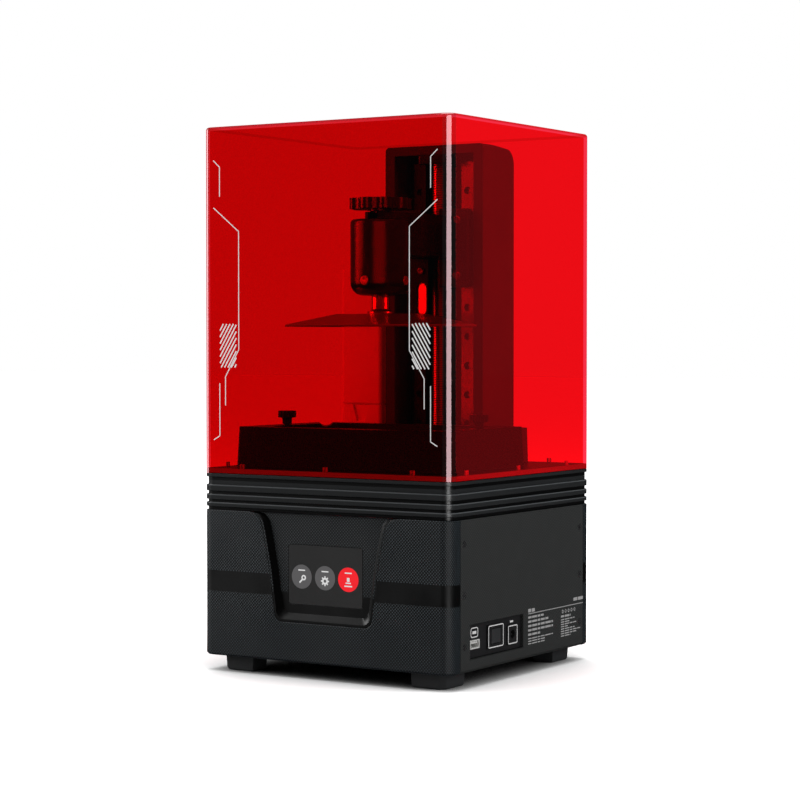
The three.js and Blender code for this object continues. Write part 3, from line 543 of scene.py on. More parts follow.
def clear_sheet(name, tint, shaded_tint, ior=1.49):
    """A clear coloured wall: light passes straight through, tinted at each face, and the outer
    faces shine, most of all the polished round corners. The front wall, the round upper edge and
    the border of the top have a darker tint as painted shade, so they show darker than the side
    walls."""
    tree = Tree(name)
    surface = tree.node("ShaderNodeNewGeometry")
    normal, place = tree.axes(surface.outputs["Normal"]), tree.axes(tree.position())
    along, upright = (tree.maths("ABSOLUTE", normal[axis]) for axis in "YZ")
    reach = tree.maths("MAXIMUM", *(tree.maths("ABSOLUTE", place[axis]) for axis in "XY"))
    front = tree.product(tree.above(along, 0.7), tree.below(place["Y"], 0.0))
    edge = tree.between(upright, 0.15, 0.97)
    border = tree.product(tree.above(normal["Z"], 0.15), tree.above(reach, 90 * MM))
    # painted shade: the front wall, the round upper edge and the top's border get the darker tint
    painted_shade = tree.maths("MAXIMUM", front, tree.maths("MAXIMUM", edge, border))
    through = tree.node("ShaderNodeBsdfTransparent")
    tree.link(tree.ramp(painted_shade, tint, shaded_tint, 0, 1), through.inputs["Color"])

    gloss = tree.node("ShaderNodeBsdfGlossy", Roughness=0.03)
    fresnel = tree.node("ShaderNodeFresnel", IOR=ior)
    entering = tree.maths("SUBTRACT", 1.0, surface.outputs["Backfacing"])
    first = tree.below(tree.node("ShaderNodeLightPath").outputs["Transparent Depth"], 0.5)
    corner = tree.between(along, 0.25, 0.985)
    polish = tree.maths("ADD", 1.0, tree.product(corner, 5.0))
    shine = tree.product(tree.maths("MINIMUM", fresnel.outputs[0], 0.06), polish)
    shine = tree.product(tree.product(shine, entering), first)
    return tree.finished(tree.mixed(shine, through.outputs[0], gloss.outputs[0]))


BAND_Z = (66.1 * MM, 83.1 * MM)

LOOKS = {
    # in each weave the third colour is the painted highlight on the raised dots
    "casing": woven_plastic(
        "casing weave", (0.0003, 0.0005, 0.0007), (0.050, 0.066, 0.078), 2.7 * MM, 0.09 * MM,
        BAND_Z,
    ),
    "bezel": woven_plastic(
        "bezel weave", (0.0005, 0.0006, 0.0007), (0.056, 0.068, 0.076), 2.7 * MM, 0.06 * MM,
        flat_below=69 * MM,
    ),
    # the side panels are coloured lighter than the front shell: painted light from the right side
    "side": woven_plastic(
        "side weave", (0.017, 0.018, 0.018), (0.060, 0.063, 0.062), 2.7 * MM, 0.02 * MM
    ),
    # ribbed plastic: its second colour is painted shade in the grooves, its third a painted
    # highlight on the lips
    "ribs": ribbed_plastic("ribbed plastic", (0.0006, 0.0007, 0.0008), (0.070, 0.076, 0.080), 0.3),
    "column": moulded_plastic("column plastic", (0.036, 0.034, 0.035), (0.044, 0.042, 0.043), 0.5),
    "cover_foot": moulded_plastic("cover edge", (0.32, 0.004, 0.008), (0.38, 0.006, 0.011), 0.5),
    "plastic": moulded_plastic(
        "smooth plastic", (0.009, 0.009, 0.010), (0.014, 0.014, 0.015), 0.36
    ),
    "rubber": moulded_plastic(
        "rubber", (0.019, 0.020, 0.021), (0.028, 0.029, 0.031), 0.7, 0.03 * MM, 1500
    ),
    "black_metal": metal("black anodised", (0.035, 0.034, 0.036), 0.3, metallic=0.85),
    "black_gloss": metal(
        "black polished", (0.045, 0.044, 0.046), 0.24, metallic=0.9, spread=0.02, mark=0.0006 * MM
    ),
    "black_steel": metal("black steel", (0.06, 0.058, 0.06), 0.25, (12, 12, 1)),
    "aluminium": metal("milled aluminium", (0.62, 0.63, 0.65), 0.3, (1, 12, 12)),
    "steel": metal("ground steel", (0.66, 0.66, 0.68), 0.22, (12, 12, 1)),
    "plated": metal("plated shell", (0.80, 0.80, 0.78), 0.38, metallic=0.35),
    "glass": moulded_plastic(
        "screen glass", (0.032, 0.032, 0.032), (0.036, 0.036, 0.036), 0.12, 0, 100
    ),
    "filter": moulded_plastic("white plastic", (0.90, 0.88, 0.86), (0.94, 0.92, 0.90), 0.42),
    "board": moulded_plastic("circuit board", (0.010, 0.060, 0.030), (0.016, 0.090, 0.045), 0.4),
    # red acrylic: the second tint is painted shade on the front wall and the upper edges
    "cover": clear_sheet("red acrylic", (0.95, 0.17, 0.25), (0.755, 0.09, 0.10)),
    "window": clear_sheet("clear window", (0.95, 0.97, 0.97), (0.95, 0.97, 0.97), 1.5),
    "film": clear_sheet("release film", (0.9, 0.92, 0.93), (0.9, 0.92, 0.93), 1.35),
    "ink": flat_ink("white ink", (0.86, 0.86, 0.86)),
    "ink_soft": flat_ink("pale ink", (0.62, 0.62, 0.62)),
    "ink_grey": flat_ink("grey ink", (0.30, 0.30, 0.30)),
    "ui_grey": flat_ink("display grey", (0.085, 0.083, 0.085), 1.0),
    "ui_red": flat_ink("display red", (0.80, 0.008, 0.016), 1.0),
    "ui_white": flat_ink("display white", (0.60, 0.60, 0.60), 1.0),
}

LOOKS_OF_SLOT = {
    "casing": ("casing", "side", "ribs"),
    "dark_plastic": ("plastic", "bezel", "column"),
    "cover": ("cover", "cover_foot"),
    "filter": ("filter", "ink", "ink_soft", "ink_grey"),
    "steel": ("steel", "black_steel", "plated"),
    "black_metal": ("black_metal", "black_gloss"),
    "screen": ("glass", "ui_grey", "ui_red", "ui_white"),
}
SLOTS = {look: look for look in LOOKS}
SLOTS |= {look: slot for slot, looks in LOOKS_OF_SLOT.items() for look in looks}

# ------------------------------------------------------------------ base: outer panels

CHAMFER = 1.5 * MM


def panel_ring():
    """The wall between the feet and the upper casing, before it is divided into panels."""
    z0, z1 = PANEL_Z
    levels = [(CHAMFER, z0), (0, z0 + CHAMFER), (0, z1), (WALL, z1), (WALL, z0)]
    return stack(levels, WIDTH, DEPTH, CORNER, 12, closed=True)


# in millimetres
BIB_BOTTOM = 45.1
BIB_SIDE = [(47.2, 52.6), (52.4, 88.6), (58.3, 117.6), (61, 127), (65, 131), (72, 132.7)]

BIB_DEPTH = 4.5 * MM


def bib_outline(inset, foot=0.0):
    """The control panel's outline, front view, with round lower corners; foot raises its floor."""
    bottom = BIB_BOTTOM + inset + foot
    (x0, z0), *rest = BIB_SIDE
    corner = 7.5
    lean = (BIB_SIDE[1][0] - x0) / (BIB_SIDE[1][1] - z0)
    low_x = x0 - inset - lean * (z0 - bottom - corner)
    right = arc((low_x - corner, bottom + corner), corner, -90, 0, 8)
    right += [(x - inset, z) for x, z in rest]
    left = [(-x, z) for x, z in reversed(right)]
    return [(x * MM, z * MM) for x, z in right + left]


def outer_panels():
    z0, z1 = PANEL_Z
    tall = (z0 - 1 * MM, z1 + 1 * MM)
    half_gap = GAP / 2

    front = cut(panel_ring(), block((-FAR, FAR), (half_gap - SEAM_Y, FAR), tall))
    cut(front, standing(bib_outline(0), FRONT - WALL, FRONT + 2 * WALL))
    finish_piece(front, "front_shell_moulding", "casing", "root", 0.5 * MM, "front_shell", 3)

    rear = cut(panel_ring(), block((-FAR, FAR), (-FAR, SEAM_Y + half_gap), tall))
    cut(rear, rear_openings())
    finish_piece(rear, "rear_panel_moulding", "casing", "root", 0.4 * MM, "rear_panel")

    side_panel("right_side_panel", 1)
    side_panel("left_side_panel", -1)


def side_panel(name, side):
    """A flat panel with a chamfered lower edge and six countersunk screws."""
    x, y, z = spans(name)
    outer = x[1] if side > 0 else x[0]
    rows = (33.5 * MM, 73.9 * MM, 113.7 * MM)
    places = [
        at(outer, along, row) @ turn(90 * side, "Y")
        for along in (-95 * MM, 95 * MM) for row in rows
    ]
    sheet = block(x, y, z)
    chamfer = block((-CHAMFER, CHAMFER), (y[0] - 1 * MM, y[1] + 1 * MM), (-CHAMFER, CHAMFER))
    moved(chamfer, at(outer, 0, z[0]) @ turn(45, "Y"))
    sinks = []
    for place in places:
        sink = turned([(2.2 * MM, -1.2 * MM), (3.1 * MM, 0.2 * MM), (3.1 * MM, 1 * MM)], 32)
        sinks.append(moved(sink, place))
    cut(sheet, chamfer, joined(sinks))
    if side > 0:
        _, hole_y, hole_z = spans("port_plate")
        lip = 3 * MM - GAP
        cut(sheet, block(
            (outer - 2 * WALL, outer + WALL),
            (hole_y[0] + lip, hole_y[1] - lip - GAP), (hole_z[0] + lip, hole_z[1] - lip - GAP),
        ))
    finish_piece(sheet, name + "_sheet", "side", "root", 0.35 * MM, name)
    for index, place in enumerate(places):
        panel_screw(f"{name}_screw_{index + 1}", place)


def panel_screw(name, place):
    """A small countersunk screw with a hexagonal socket, set a little below the surface."""
    head = turned([
        (2.0 * MM, -1.1 * MM), (2.75 * MM, -0.45 * MM), (2.75 * MM, -0.3 * MM),
        (2.6 * MM, -0.2 * MM),
    ], 32)
    cut(head, cylinder(1.25 * MM, -0.9 * MM, 1 * MM, 6))
    finish_piece(moved(head, place), name, "steel", "root", 0.08 * MM)


def rear_openings():
    """Air slots with round ends, and a round grille in front of the fan."""
    fan_x, _, fan_z = (middle(span) for span in spans("fan_frame"))
    half = 1.6 * MM

    def slot(x0, x1, z0, z1):
        radius = min(x1 - x0, z1 - z0) / 2 * 0.999
        outline = rounded(x1 - x0, z1 - z0, radius, 6, ((x0 + x1) / 2, (z0 + z1) / 2))
        return standing(outline, BACK - 2 * WALL, BACK + WALL)

    cutters = []
    radius = 26 * MM
    for row in range(-4, 5):
        z = row * 6 * MM
        reach = math.sqrt(radius * radius - z * z)
        for near, far in ((-reach, -1.5 * MM), (1.5 * MM, reach)):
            cutters.append(slot(fan_x + near, fan_x + far, fan_z + z - half, fan_z + z + half))
    for column in range(9):
        x = (-90 + 7.5 * column) * MM
        cutters.append(slot(x - 1.5 * MM, x + 1.5 * MM, 57.6 * MM, 107.6 * MM))
    return joined(cutters)


# ------------------------------------------------------------------ base: casing and deck

def upper_casing():
    """The casing with its grooves, its deck and the ledge that the cover stands on."""
    levels = []
    tops = [low * MM for low, _ in GROOVES[1:]] + [RIM_Z]
    for (low, high), top in zip(GROOVES, tops):
        levels += [(RIB_DEPTH, low * MM), (RIB_DEPTH, high * MM), (0, high * MM), (0, top)]
    levels += [(LEDGE, RIM_Z), (LEDGE, DECK_Z)]
    casing = stack(levels, WIDTH, DEPTH, CORNER, 12)
    hollow = [(5 * MM, CASING_Z[0] - 1 * MM), (5 * MM, DECK_Z - 3 * MM)]
    cut(casing, stack(hollow, WIDTH, DEPTH, CORNER, 8))

    window_x, window_y, window_z = spans("projection_window")
    width, depth = length(window_x), length(window_y)
    through = (DECK_Z - 5 * MM, DECK_Z + 1 * MM)
    seat = (window_z[0] - GAP, DECK_Z + 1 * MM)
    for wider, heights in ((2 * GAP, seat), (-8 * MM, through)):
        outline = rounded(width + wider, depth + wider, 3 * MM, 6, (0, middle(window_y)))
        cut(casing, extruded(outline, *heights))
    cut(casing, cylinder(12 * MM, *through, 48, SCREW))
    for knob in ("vat_knob_left", "vat_knob_right"):
        x, y, _ = (middle(span) for span in spans(knob))
        cut(casing, cylinder(3.4 * MM, *through, 24, (x, y)))
    cable_x, cable_y = (46 * MM, 58 * MM), (70 * MM, 90 * MM)
    cut(casing, block(cable_x, cable_y, through))
    add(casing, motor_sleeve())
    deck_bumps()
    finish_piece(casing, "ribbed_casing", "ribs", "root", 0.45 * MM, "upper_casing", 3)


def motor_sleeve():
    """The square sleeve under the deck that takes the lifting motor."""
    x, _, _ = spans("lift_motor")
    half = length(x) / 2
    inner = half - 3 * MM
    low = 138.6 * MM
    sleeve = block((-half, half), (SCREW[1] - half, SCREW[1] + half), (low, DECK_Z - 2.5 * MM))
    room = (SCREW[1] - inner, SCREW[1] + inner)
    cut(sleeve, block((-inner, inner), room, (low + 4 * MM, DECK_Z)))
    return cut(sleeve, cylinder(12 * MM, low - 1 * MM, DECK_Z, 48, SCREW))


def deck_bumps():
    """Pairs of small pads along the deck's edge that centre the cover, coloured white as a painted
    highlight of the light they catch.
    """
    reach, across, corner = 0.9 * MM, 1.4 * MM, 0.6 * MM
    heights = (DECK_Z - 0.5 * MM, DECK_Z + BUMP_H)
    bumps = []
    for along in (-82 * MM, 0, 82 * MM):
        for side in (-1, 1):
            edge_x = side * (WIDTH / 2 - LEDGE - reach)
            edge_y = side * (DEPTH / 2 - LEDGE - reach)
            for shift in (-1.3 * MM, 1.3 * MM):
                beside = (edge_x, along - 3 * MM + shift)
                for outline in (
                    rounded(across, 2 * reach, corner, 3, (along + shift, edge_y)),
                    rounded(2 * reach, across, corner, 3, beside),
                ):
                    bumps.append(extruded(outline, *heights))
    # the white look of the pads is a painted highlight
    finish_piece(joined(bumps), "deck_bumps", "filter", "root", 0)


def feet():
    """Rubber pads with a small cut on the outer corner and a large one towards the middle."""
    outer_cut, inner_cut = 4.5 * MM, 12 * MM
    for name in ("foot_front_left", "foot_front_right", "foot_rear_left", "foot_rear_right"):
        x, y, z = spans(name)
        side_x = 1 if middle(x) > 0 else -1
        side_y = 1 if middle(y) > 0 else -1
        levels = [
            (2.2 * MM, z[0]), (1.2 * MM, z[0] + 0.5 * MM), (0.7 * MM, z[0] + 1.7 * MM), (0, z[1])
        ]
        loops = []
        for inset, height in levels:
            half_x, half_y = length(x) / 2 - inset, length(y) / 2 - inset
            outline = [
                (inner_cut - half_x, -half_y), (half_x, -half_y), (half_x, half_y - outer_cut),
                (half_x - outer_cut, half_y), (-half_x, half_y), (-half_x, inner_cut - half_y),
            ]
            placed = [(middle(x) + side_x * px, middle(y) + side_y * py) for px, py in outline]
            loops.append(level(placed, height))
        finish_piece(lofted(loops), name + "_pad", "rubber", "root", 0.6 * MM, name, 3)


# ------------------------------------------------------------------ control panel and display


def control_panel():
    """A tray whose walls slope in to the screen, with a raised lip round it."""
    face = FRONT + BIB_DEPTH
    back = spans("control_panel")[1][1]
    top = PANEL_Z[1]
    tray = standing(bib_outline(0.3), FRONT + GAP, back)
    rim, floor = bib_outline(2.2), bib_outline(6.4, 0.6)
    loops = []
    for outline, y in ((rim, FRONT - 1 * MM), (rim, FRONT + 0.6 * MM), (floor, face)):
        loops.append([(x, y, z) for x, z in outline])
    cut(tray, lofted(loops))
    cut(tray, block((-FAR, FAR), (FRONT - WALL, back + WALL), (top - GAP, top + 20 * MM)))
    glass_x, glass_y, glass_z = spans("screen_glass")
    width, height = length(glass_x), length(glass_z)
    centre = (0, middle(glass_z))
    pocket = rounded(width + 2 * GAP, height + 2 * GAP, 2.3 * MM, 6, centre)
    cut(tray, standing(pocket, FRONT - 1 * MM, glass_y[1] + 0.1 * MM))
    cable = block((-20 * MM, 20 * MM), (face, back + 1 * MM), (68.6 * MM, 98.6 * MM))
    cut(tray, cable)
    finish_piece(tray, "control_panel_bezel", "bezel", "root", 0.45 * MM, "control_panel", 3)

    glass = standing(rounded(width, height, 2 * MM, 8, centre), *glass_y)
    finish_piece(glass, "touch_screen", "glass", "root", 0.3 * MM, "screen_glass", 2)
    display(glass_y[0])


def printed(name, figures, look, place, body="root"):
    """Flat figures as one thin piece, put on a face by a place that turns them to it."""
    finish_piece(joined([moved(figure, place) for figure in figures]), name, look, body, 0)


def on_front(face):
    """The place of flat figures drawn in XZ on a face that looks to the front."""
    return at(0, face - SINK, 0) @ FACING_FRONT


def on_right(face):
    """The place of flat figures drawn in YZ on a face that looks to the right."""
    return at(face - SINK, 0, 0) @ FACING_RIGHT


def bar(start, end, width):
    """A flat stroke between two points."""
    a, b = Vector(start), Vector(end)
    along = (b - a).normalized()
    side = Vector((-along.y, along.x)) * width / 2
    return extruded([a + side, a - side, b - side, b + side], 0, THIN)


ICON = 1.3 * MM


def display(face):
    """Three round buttons with plain icons: a spanner, a gear and a print head over a plate."""
    z = 82.1 * MM
    icon_z, label_z = z - 2.4 * MM, z + 5.2 * MM
    under, over = on_front(face), on_front(face - THIN)
    places = x1, x2, x3 = -22.7 * MM, -0.1 * MM, 22.2 * MM
    for index, (x, look) in enumerate(zip(places, ("ui_grey", "ui_grey", "ui_red"))):
        disc = cylinder(9.7 * MM, 0, THIN, 64, (x, z))
        printed(f"display_button_{index + 1}", [disc], look, under)

    def stroke(x, start, end, width):
        """A stroke in icon units from the middle of an icon."""
        ends = [(x + px * ICON, icon_z + pz * ICON) for px, pz in (start, end)]
        return bar(*ends, width * ICON)

    eye = (x1 + 1.5 * ICON, icon_z + 1.3 * ICON)
    spanner = [
        stroke(x1, (-1.6, -1.9), (0.9, 0.6), 1.0),
        flat_ring(circle(1.7 * ICON, 40, eye), circle(0.8 * ICON, 40, eye)),
    ]
    hub = (x2, icon_z)
    gear = [flat_ring(circle(2.2 * ICON, 40, hub), circle(1.0 * ICON, 40, hub))]
    for inner, outer in zip(circle(2.25, 8), circle(3.0, 8)):
        gear.append(stroke(x2, inner, outer, 0.9))
    print_head = [stroke(x3, (0, 3), (0, 0.6), 1.9)]
    for half, height in ((1.9, -0.3), (2.8, -2.2)):
        print_head.append(stroke(x3, (-half, height), (half, height), 0.8))
    printed("display_icons", spanner + gear + print_head, "ui_white", over)
    half = 3.3 * MM
    labels = [bar((x - half, label_z), (x + half, label_z), 1.0 * MM) for x in places]
    printed("display_captions", labels, "ui_white", over)


# ------------------------------------------------------------------ ports


def round_frame(centre, size_y, size_z, radius, width=0.8 * MM):
    """A flat outline with round corners."""
    outer = rounded(size_y, size_z, radius, 4, centre)
    inner = rounded(size_y - 2 * width, size_z - 2 * width, radius - width, 4, centre)
    return flat_ring(outer, inner)


def port_marks():
    """Plain printed marks round the ports: frames and rules, with no lettering."""
    inset = 0.5 * MM
    for name, node in (("switch_mark", "switch_housing"), ("jack_mark", "power_jack")):
        (_, face), y, z = spans(node)
        size_y, size_z = length(y) - 2 * inset, length(z) - 2 * inset
        mark = round_frame((middle(y), middle(z)), size_y, size_z, 1.6 * MM)
        printed(name, [mark], "ink_soft", on_right(face))
    plate = on_right(spans("port_plate")[0][1])
    _, jack_y, jack_z = spans("power_jack")
    y, z, half = middle(jack_y), jack_z[1] + 2.4 * MM, 2.6 * MM
    printed("jack_label", [bar((y - half, z), (y + half, z), 1.5 * MM)], "ink_soft", plate)
    _, usb_y, usb_z = spans("usb_port")
    y, z, half = middle(usb_y), usb_z[1] + 5.8 * MM, 3 * MM
    printed("usb_mark", [
        round_frame((y, z), 11.5 * MM, 8 * MM, 2.4 * MM),
        bar((y - half, z), (y + half, z), 2.2 * MM),
    ], "ink_soft", plate)


def words(start, end, z, height, lengths=(5.6, 8.1, 4.2, 6.6, 9.3)):
    """A row of plain dashes that stands for a line of print; millimetres."""
    dashes = []
    here, index = start, 0
    while here < end - 1:
        stop = min(here + lengths[index % len(lengths)], end)
        dashes.append(bar((here * MM, z * MM), (stop * MM, z * MM), height * MM))
        here, index = stop + 1.1, index + 1
    return dashes


def rating_plate():
    """The printed panel beside the ports, as plain rules and dashes without any lettering."""
    left, split, right = 6, 62, 101
    figures = words(left, left + 11, 51.8, 2.8, (5, 5))
    figures += words(right - 17, right, 53.6, 2.6, (7, 9))
    figures.append(bar((left * MM, 49.3 * MM), (right * MM, 49.3 * MM), 0.6 * MM))
    for index in range(5):
        centre = ((split + 3 + 5.2 * index) * MM, 45.2 * MM)
        figures.append(flat_ring(circle(1.5 * MM, 16, centre), circle(0.8 * MM, 16, centre)))
    figures += words(split, split + 17, 41.2, 1.7)
    # each paragraph: its left edge, first line, line spacing, letter height and line lengths
    paragraphs = [
        (left, 46.2, 3.5, 1.7, (26, 34, 42, 42, 22)),
        (left, 28.9, 2.1, 0.9, (42, 29, 29)),
        (split, 38.4, 1.95, 0.9, (24, 15, 27, 12, 24, 34, 27, 17)),
    ]
    for start, z, spacing, height, lengths in paragraphs:
        for row, extent in enumerate(lengths):
            figures += words(start, start + extent, z - spacing * row, height)
    printed("rating_print", figures, "ink_grey", on_right(RIGHT))


# ------------------------------------------------------------------ lifting axis


def threaded_rod():
    """The lifting screw, with a real helical groove."""
    x, _, z = spans("lead_screw")
    radius, journal = length(x) / 2, 4 * MM
    pitch, rows, steps, groove = 2 * MM, 6, 28, 0.55 * MM
    z0, z1 = z[0] + 3 * MM, z[1]
    neck = circle(journal, steps, SCREW)
    loops = [level(neck, z[0]), level(neck, z0)]
    total = round((z1 - z0) / pitch * rows)
    for row in range(total + 1):
        height = z0 + (z1 - z0) * row / total
        loop = []
        for i in range(steps):
            angle = 2 * math.pi * i / steps
            phase = height / pitch - i / steps
            r = radius - groove * max(0.0, math.cos(2 * math.pi * phase)) ** 0.8
            loop.append((*polar(SCREW, r, angle), height))
        loops.append(loop)
    rod = lofted(loops)
    finish_piece(rod, "threaded_rod", "steel", "screw", 0, "lead_screw")
    for polygon in rod.data.polygons:
        polygon.use_smooth = len(polygon.vertices) == 4


def rails():
    """Two rails with a waist on each side and a row of screw holes."""
    for name in ("rail_left", "rail_right"):
        x, y, z = spans(name)
        half, height = length(x) / 2, length(y)
        waist = 0.83 * half
        side = [(half, 0), (half, 0.36 * height), (waist, 0.5 * height),
                (waist, 0.66 * height), (half, 0.8 * height), (half, height)]
        outline = side + [(-px, py) for px, py in reversed(side)]
        rail = extruded([(middle(x) + px, y[0] + height - py) for px, py in outline], *z)
        holes = []
        spacing = 25 * MM
        count = int((length(z)) / spacing)
        for i in range(count):
            hole_z = middle(z) + (i - (count - 1) / 2) * spacing
            well = cylinder(3 * MM, -3.5 * MM, 2 * MM, 24)
            holes.append(moved(well, at(middle(x), y[0], hole_z) @ turn(90, "X")))
        cut(rail, joined(holes))
        finish_piece(rail, name + "_ground", "black_steel", "root", 0.25 * MM, name)


def tower():
    """The column's cover, with its sloping back and its channel, and the plinth at its foot."""
    (_, half), (front, back), (bottom, top) = spans("tower_shell")
    corner, fall, web = 4 * MM, 14 * MM, 82 * MM
    low = bottom - 1 * MM
    front_view = [(-half, bottom), (half, bottom)]
    front_view += arc((half - corner, top - corner), corner, 0, 90, 8)
    front_view += arc((corner - half, top - corner), corner, 90, 180, 8)
    shell = standing(front_view, front, back)
    side_view = [(front - 1 * MM, low), (back, low)]
    side_view += arc((back - fall, top - 2 * MM - fall), fall, 0, 72, 10)
    side_view += [(front + 18 * MM, top - 0.05 * MM), (front - 1 * MM, top - 0.05 * MM)]
    combine(shell, moved(extruded(side_view, -half - WALL, half + WALL), FACING_RIGHT), "INTERSECT")
    channel, ceiling = 39.5 * MM, 430.6 * MM
    inner = half - 4 * MM
    cut(shell, block((-channel, channel), (front - WALL, web), (low, ceiling)))
    cut(shell, block((-inner, inner), (web + 4 * MM, back - WALL), (low, top - 16 * MM)))
    finish_piece(shell, "column_cover", "column", "root", 0.9 * MM, "tower_shell", 3)

    x, y, z = spans("tower_plinth")
    size, depth = length(x), length(y)
    loops = []
    for draft, height in ((0, z[0]), (1 * MM, z[1])):
        outline = rounded(size - 2 * draft, depth, 4 * MM, 8, (0, middle(y)))
        loops.append(level(outline, height))
    channel, hollow = 40.5 * MM, 40 * MM
    tall = (z[0] - 1 * MM, z[1] + 1 * MM)
    plinth = cut(
        lofted(loops), block((-channel, channel), (y[0] - WALL, web + 2 * MM), tall),
        block((-hollow, hollow), (web + 6 * MM, y[1] - 4 * MM), tall),
    )
    finish_piece(plinth, "column_plinth", "column", "root", 0.8 * MM, "tower_plinth", 3)


# ------------------------------------------------------------------ carriage and head


def socket_screw(name, body, place, radius, height):
    """A cylinder-head screw with a hexagonal socket, its head standing on a face at place."""
    edge = 0.3 * MM
    head = turned([(radius, 0), (radius, height - edge), (radius - edge, height)], 32)
    cut(head, cylinder(radius * 0.5, height * 0.4, height + 1 * MM, 6))
    finish_piece(moved(head, place), name, "steel", body, 0.08 * MM)


def carriage():
    refined("carriage_plate", "black_metal", 0.4 * MM)
    _, y, z = spans("carriage_plate")
    rows = (z[0] + 10 * MM, z[1] - 10 * MM)
    places = [(x, row) for x in (-28 * MM, 28 * MM) for row in rows]
    for index, (x, row) in enumerate(places):
        place = at(x, y[0], row) @ turn(90, "X")
        socket_screw(f"carriage_screw_{index + 1}", "carriage", place, 3.4 * MM, 2.6 * MM)
    for name in ("rail_block_left", "rail_block_right"):
        refined(name, "black_steel", 0.5 * MM)
    refined("screw_nut", "aluminium", 0.3 * MM)
    arm()
    flag()


def arm():
    """The arm, with its fork over the head."""
    (_, half), (_, root), (low, top) = spans("platform_arm")
    tip = spans("head_housing")[1][1] + 0.8 * MM
    taper, shoulder = 7 * MM, tip + 7.2 * MM
    body = extruded([
        (half, root), (-half, root), (-half, shoulder), (taper - half, tip),
        (half - taper, tip), (half, shoulder),
    ], low, top)
    fork_r, slot_r, fork_low = 13 * MM, 4.6 * MM, 371.6 * MM
    centre = (0, HEAD_Y)
    root_y = tip + 5.2 * MM
    fork = arc(centre, fork_r, 180, 360, 24) + [(fork_r, root_y), (-fork_r, root_y)]
    add(body, extruded(fork, fork_low, top))
    mouth = HEAD_Y - fork_r - WALL
    slot = arc(centre, slot_r, 0, 180, 12) + [(-slot_r, mouth), (slot_r, mouth)]
    cut(body, extruded(slot, fork_low - 1 * MM, top + 1 * MM))
    finish_piece(
        body, "platform_arm_casting", "black_metal", "carriage", 0.8 * MM, "platform_arm", 3
    )


def flag():
    """The thin bracket below the arm, with its long adjusting slot, and the screw that holds it."""
    (left, right), (front, back), (low, top) = spans("limit_flag")
    thickness, tab = 1.6 * MM, left + 4 * MM
    slot_x, slot_low, slot_high, slot_r = -6.8 * MM, 298.1 * MM, 315.6 * MM, 4.9 * MM
    behind = front + thickness
    sheet = standing([
        (left, low), (right, low + 3 * MM), (right, top), (tab, top),
        (tab, top - 14 * MM), (left, top - 20 * MM),
    ], front, behind)
    slot = long_hole(slot_x, slot_low, slot_high, slot_r)
    cut(sheet, standing(slot, front - 1 * MM, behind + 1 * MM))
    add(sheet, block((tab, right), (front + thickness / 2, back), (top - 12 * MM, top)))
    finish_piece(sheet, "limit_flag_bracket", "black_metal", "carriage", 0.25 * MM, "limit_flag")
    place = at(slot_x, front, 331 * MM) @ turn(90, "X")
    socket_screw("limit_flag_screw", "carriage", place, 2.8 * MM, 2.2 * MM)
    strip = long_hole(slot_x, slot_low, slot_high, slot_r + 0.6 * MM)
    slider = standing(strip, behind + 0.1 * MM, behind + 0.7 * MM)
    finish_piece(slider, "limit_flag_slider", "steel", "carriage", 0.1 * MM)


def platform_head():
    """The cup that holds the ball, its four set screws and the ball."""
    (_, radius), _, (bottom, top) = spans("head_housing")
    ball_x, _, (ball_low, ball_high) = spans("level_ball")
    ball_r = length(ball_x) / 2
    ball_z = ball_high - ball_r
    centre = (0, HEAD_Y)
    room, edge, shoulder = ball_r + 0.5 * MM, 11 * MM, 3 * MM
    profile = arc((radius - edge, bottom + edge), edge, -90, 0, 16)
    profile += arc((radius - shoulder, top - shoulder), shoulder, 0, 90, 8)
    housing = turned(profile, 96, centre)
    neck, stud = 9.6 * MM, 4.3 * MM
    cut(housing, turned([
        (neck, bottom - 1 * MM), (neck, ball_z - 6 * MM), (room, ball_z),
        (room, top - 12 * MM), (stud, top - 12 * MM), (stud, top + 1 * MM),
    ], 48, centre))
    sideways = [
        at(0, HEAD_Y, ball_z) @ turn(90 * quarter, "Z") @ turn(90, "Y") for quarter in range(4)
    ]
    for place in sideways:
        hole = turned([
            (stud, room - 2 * MM), (stud, radius - 0.9 * MM), (5.4 * MM, radius + 1 * MM)
        ], 32)
        cut(housing, moved(hole, place))
    finish_piece(housing, "head_cup", "black_gloss", "head", 0.3 * MM, "head_housing")

    for side, place in zip(("right", "rear", "left", "front"), sideways):
        screw = turned([
            (3.9 * MM, ball_r + 0.9 * MM), (3.9 * MM, radius - 0.2 * MM),
            (3.5 * MM, radius + 0.2 * MM),
        ], 32)
        cut(screw, cylinder(2.0 * MM, radius - 2.5 * MM, radius + 1 * MM, 6))
        name = f"set_screw_{side}"
        finish_piece(moved(screw, place), name + "_turned", "steel", "head", 0.1 * MM, name)

    flat = math.sqrt(ball_r ** 2 - (ball_z - ball_low) ** 2)
    sphere = arc((0, ball_z), ball_r, -52, 90, 22)[1:]
    ball = turned([(flat, ball_low), *sphere], 48, centre)
    finish_piece(ball, "ball", "steel", "ball", 0.1 * MM, "level_ball")
    stem_and_plate()
    knob()


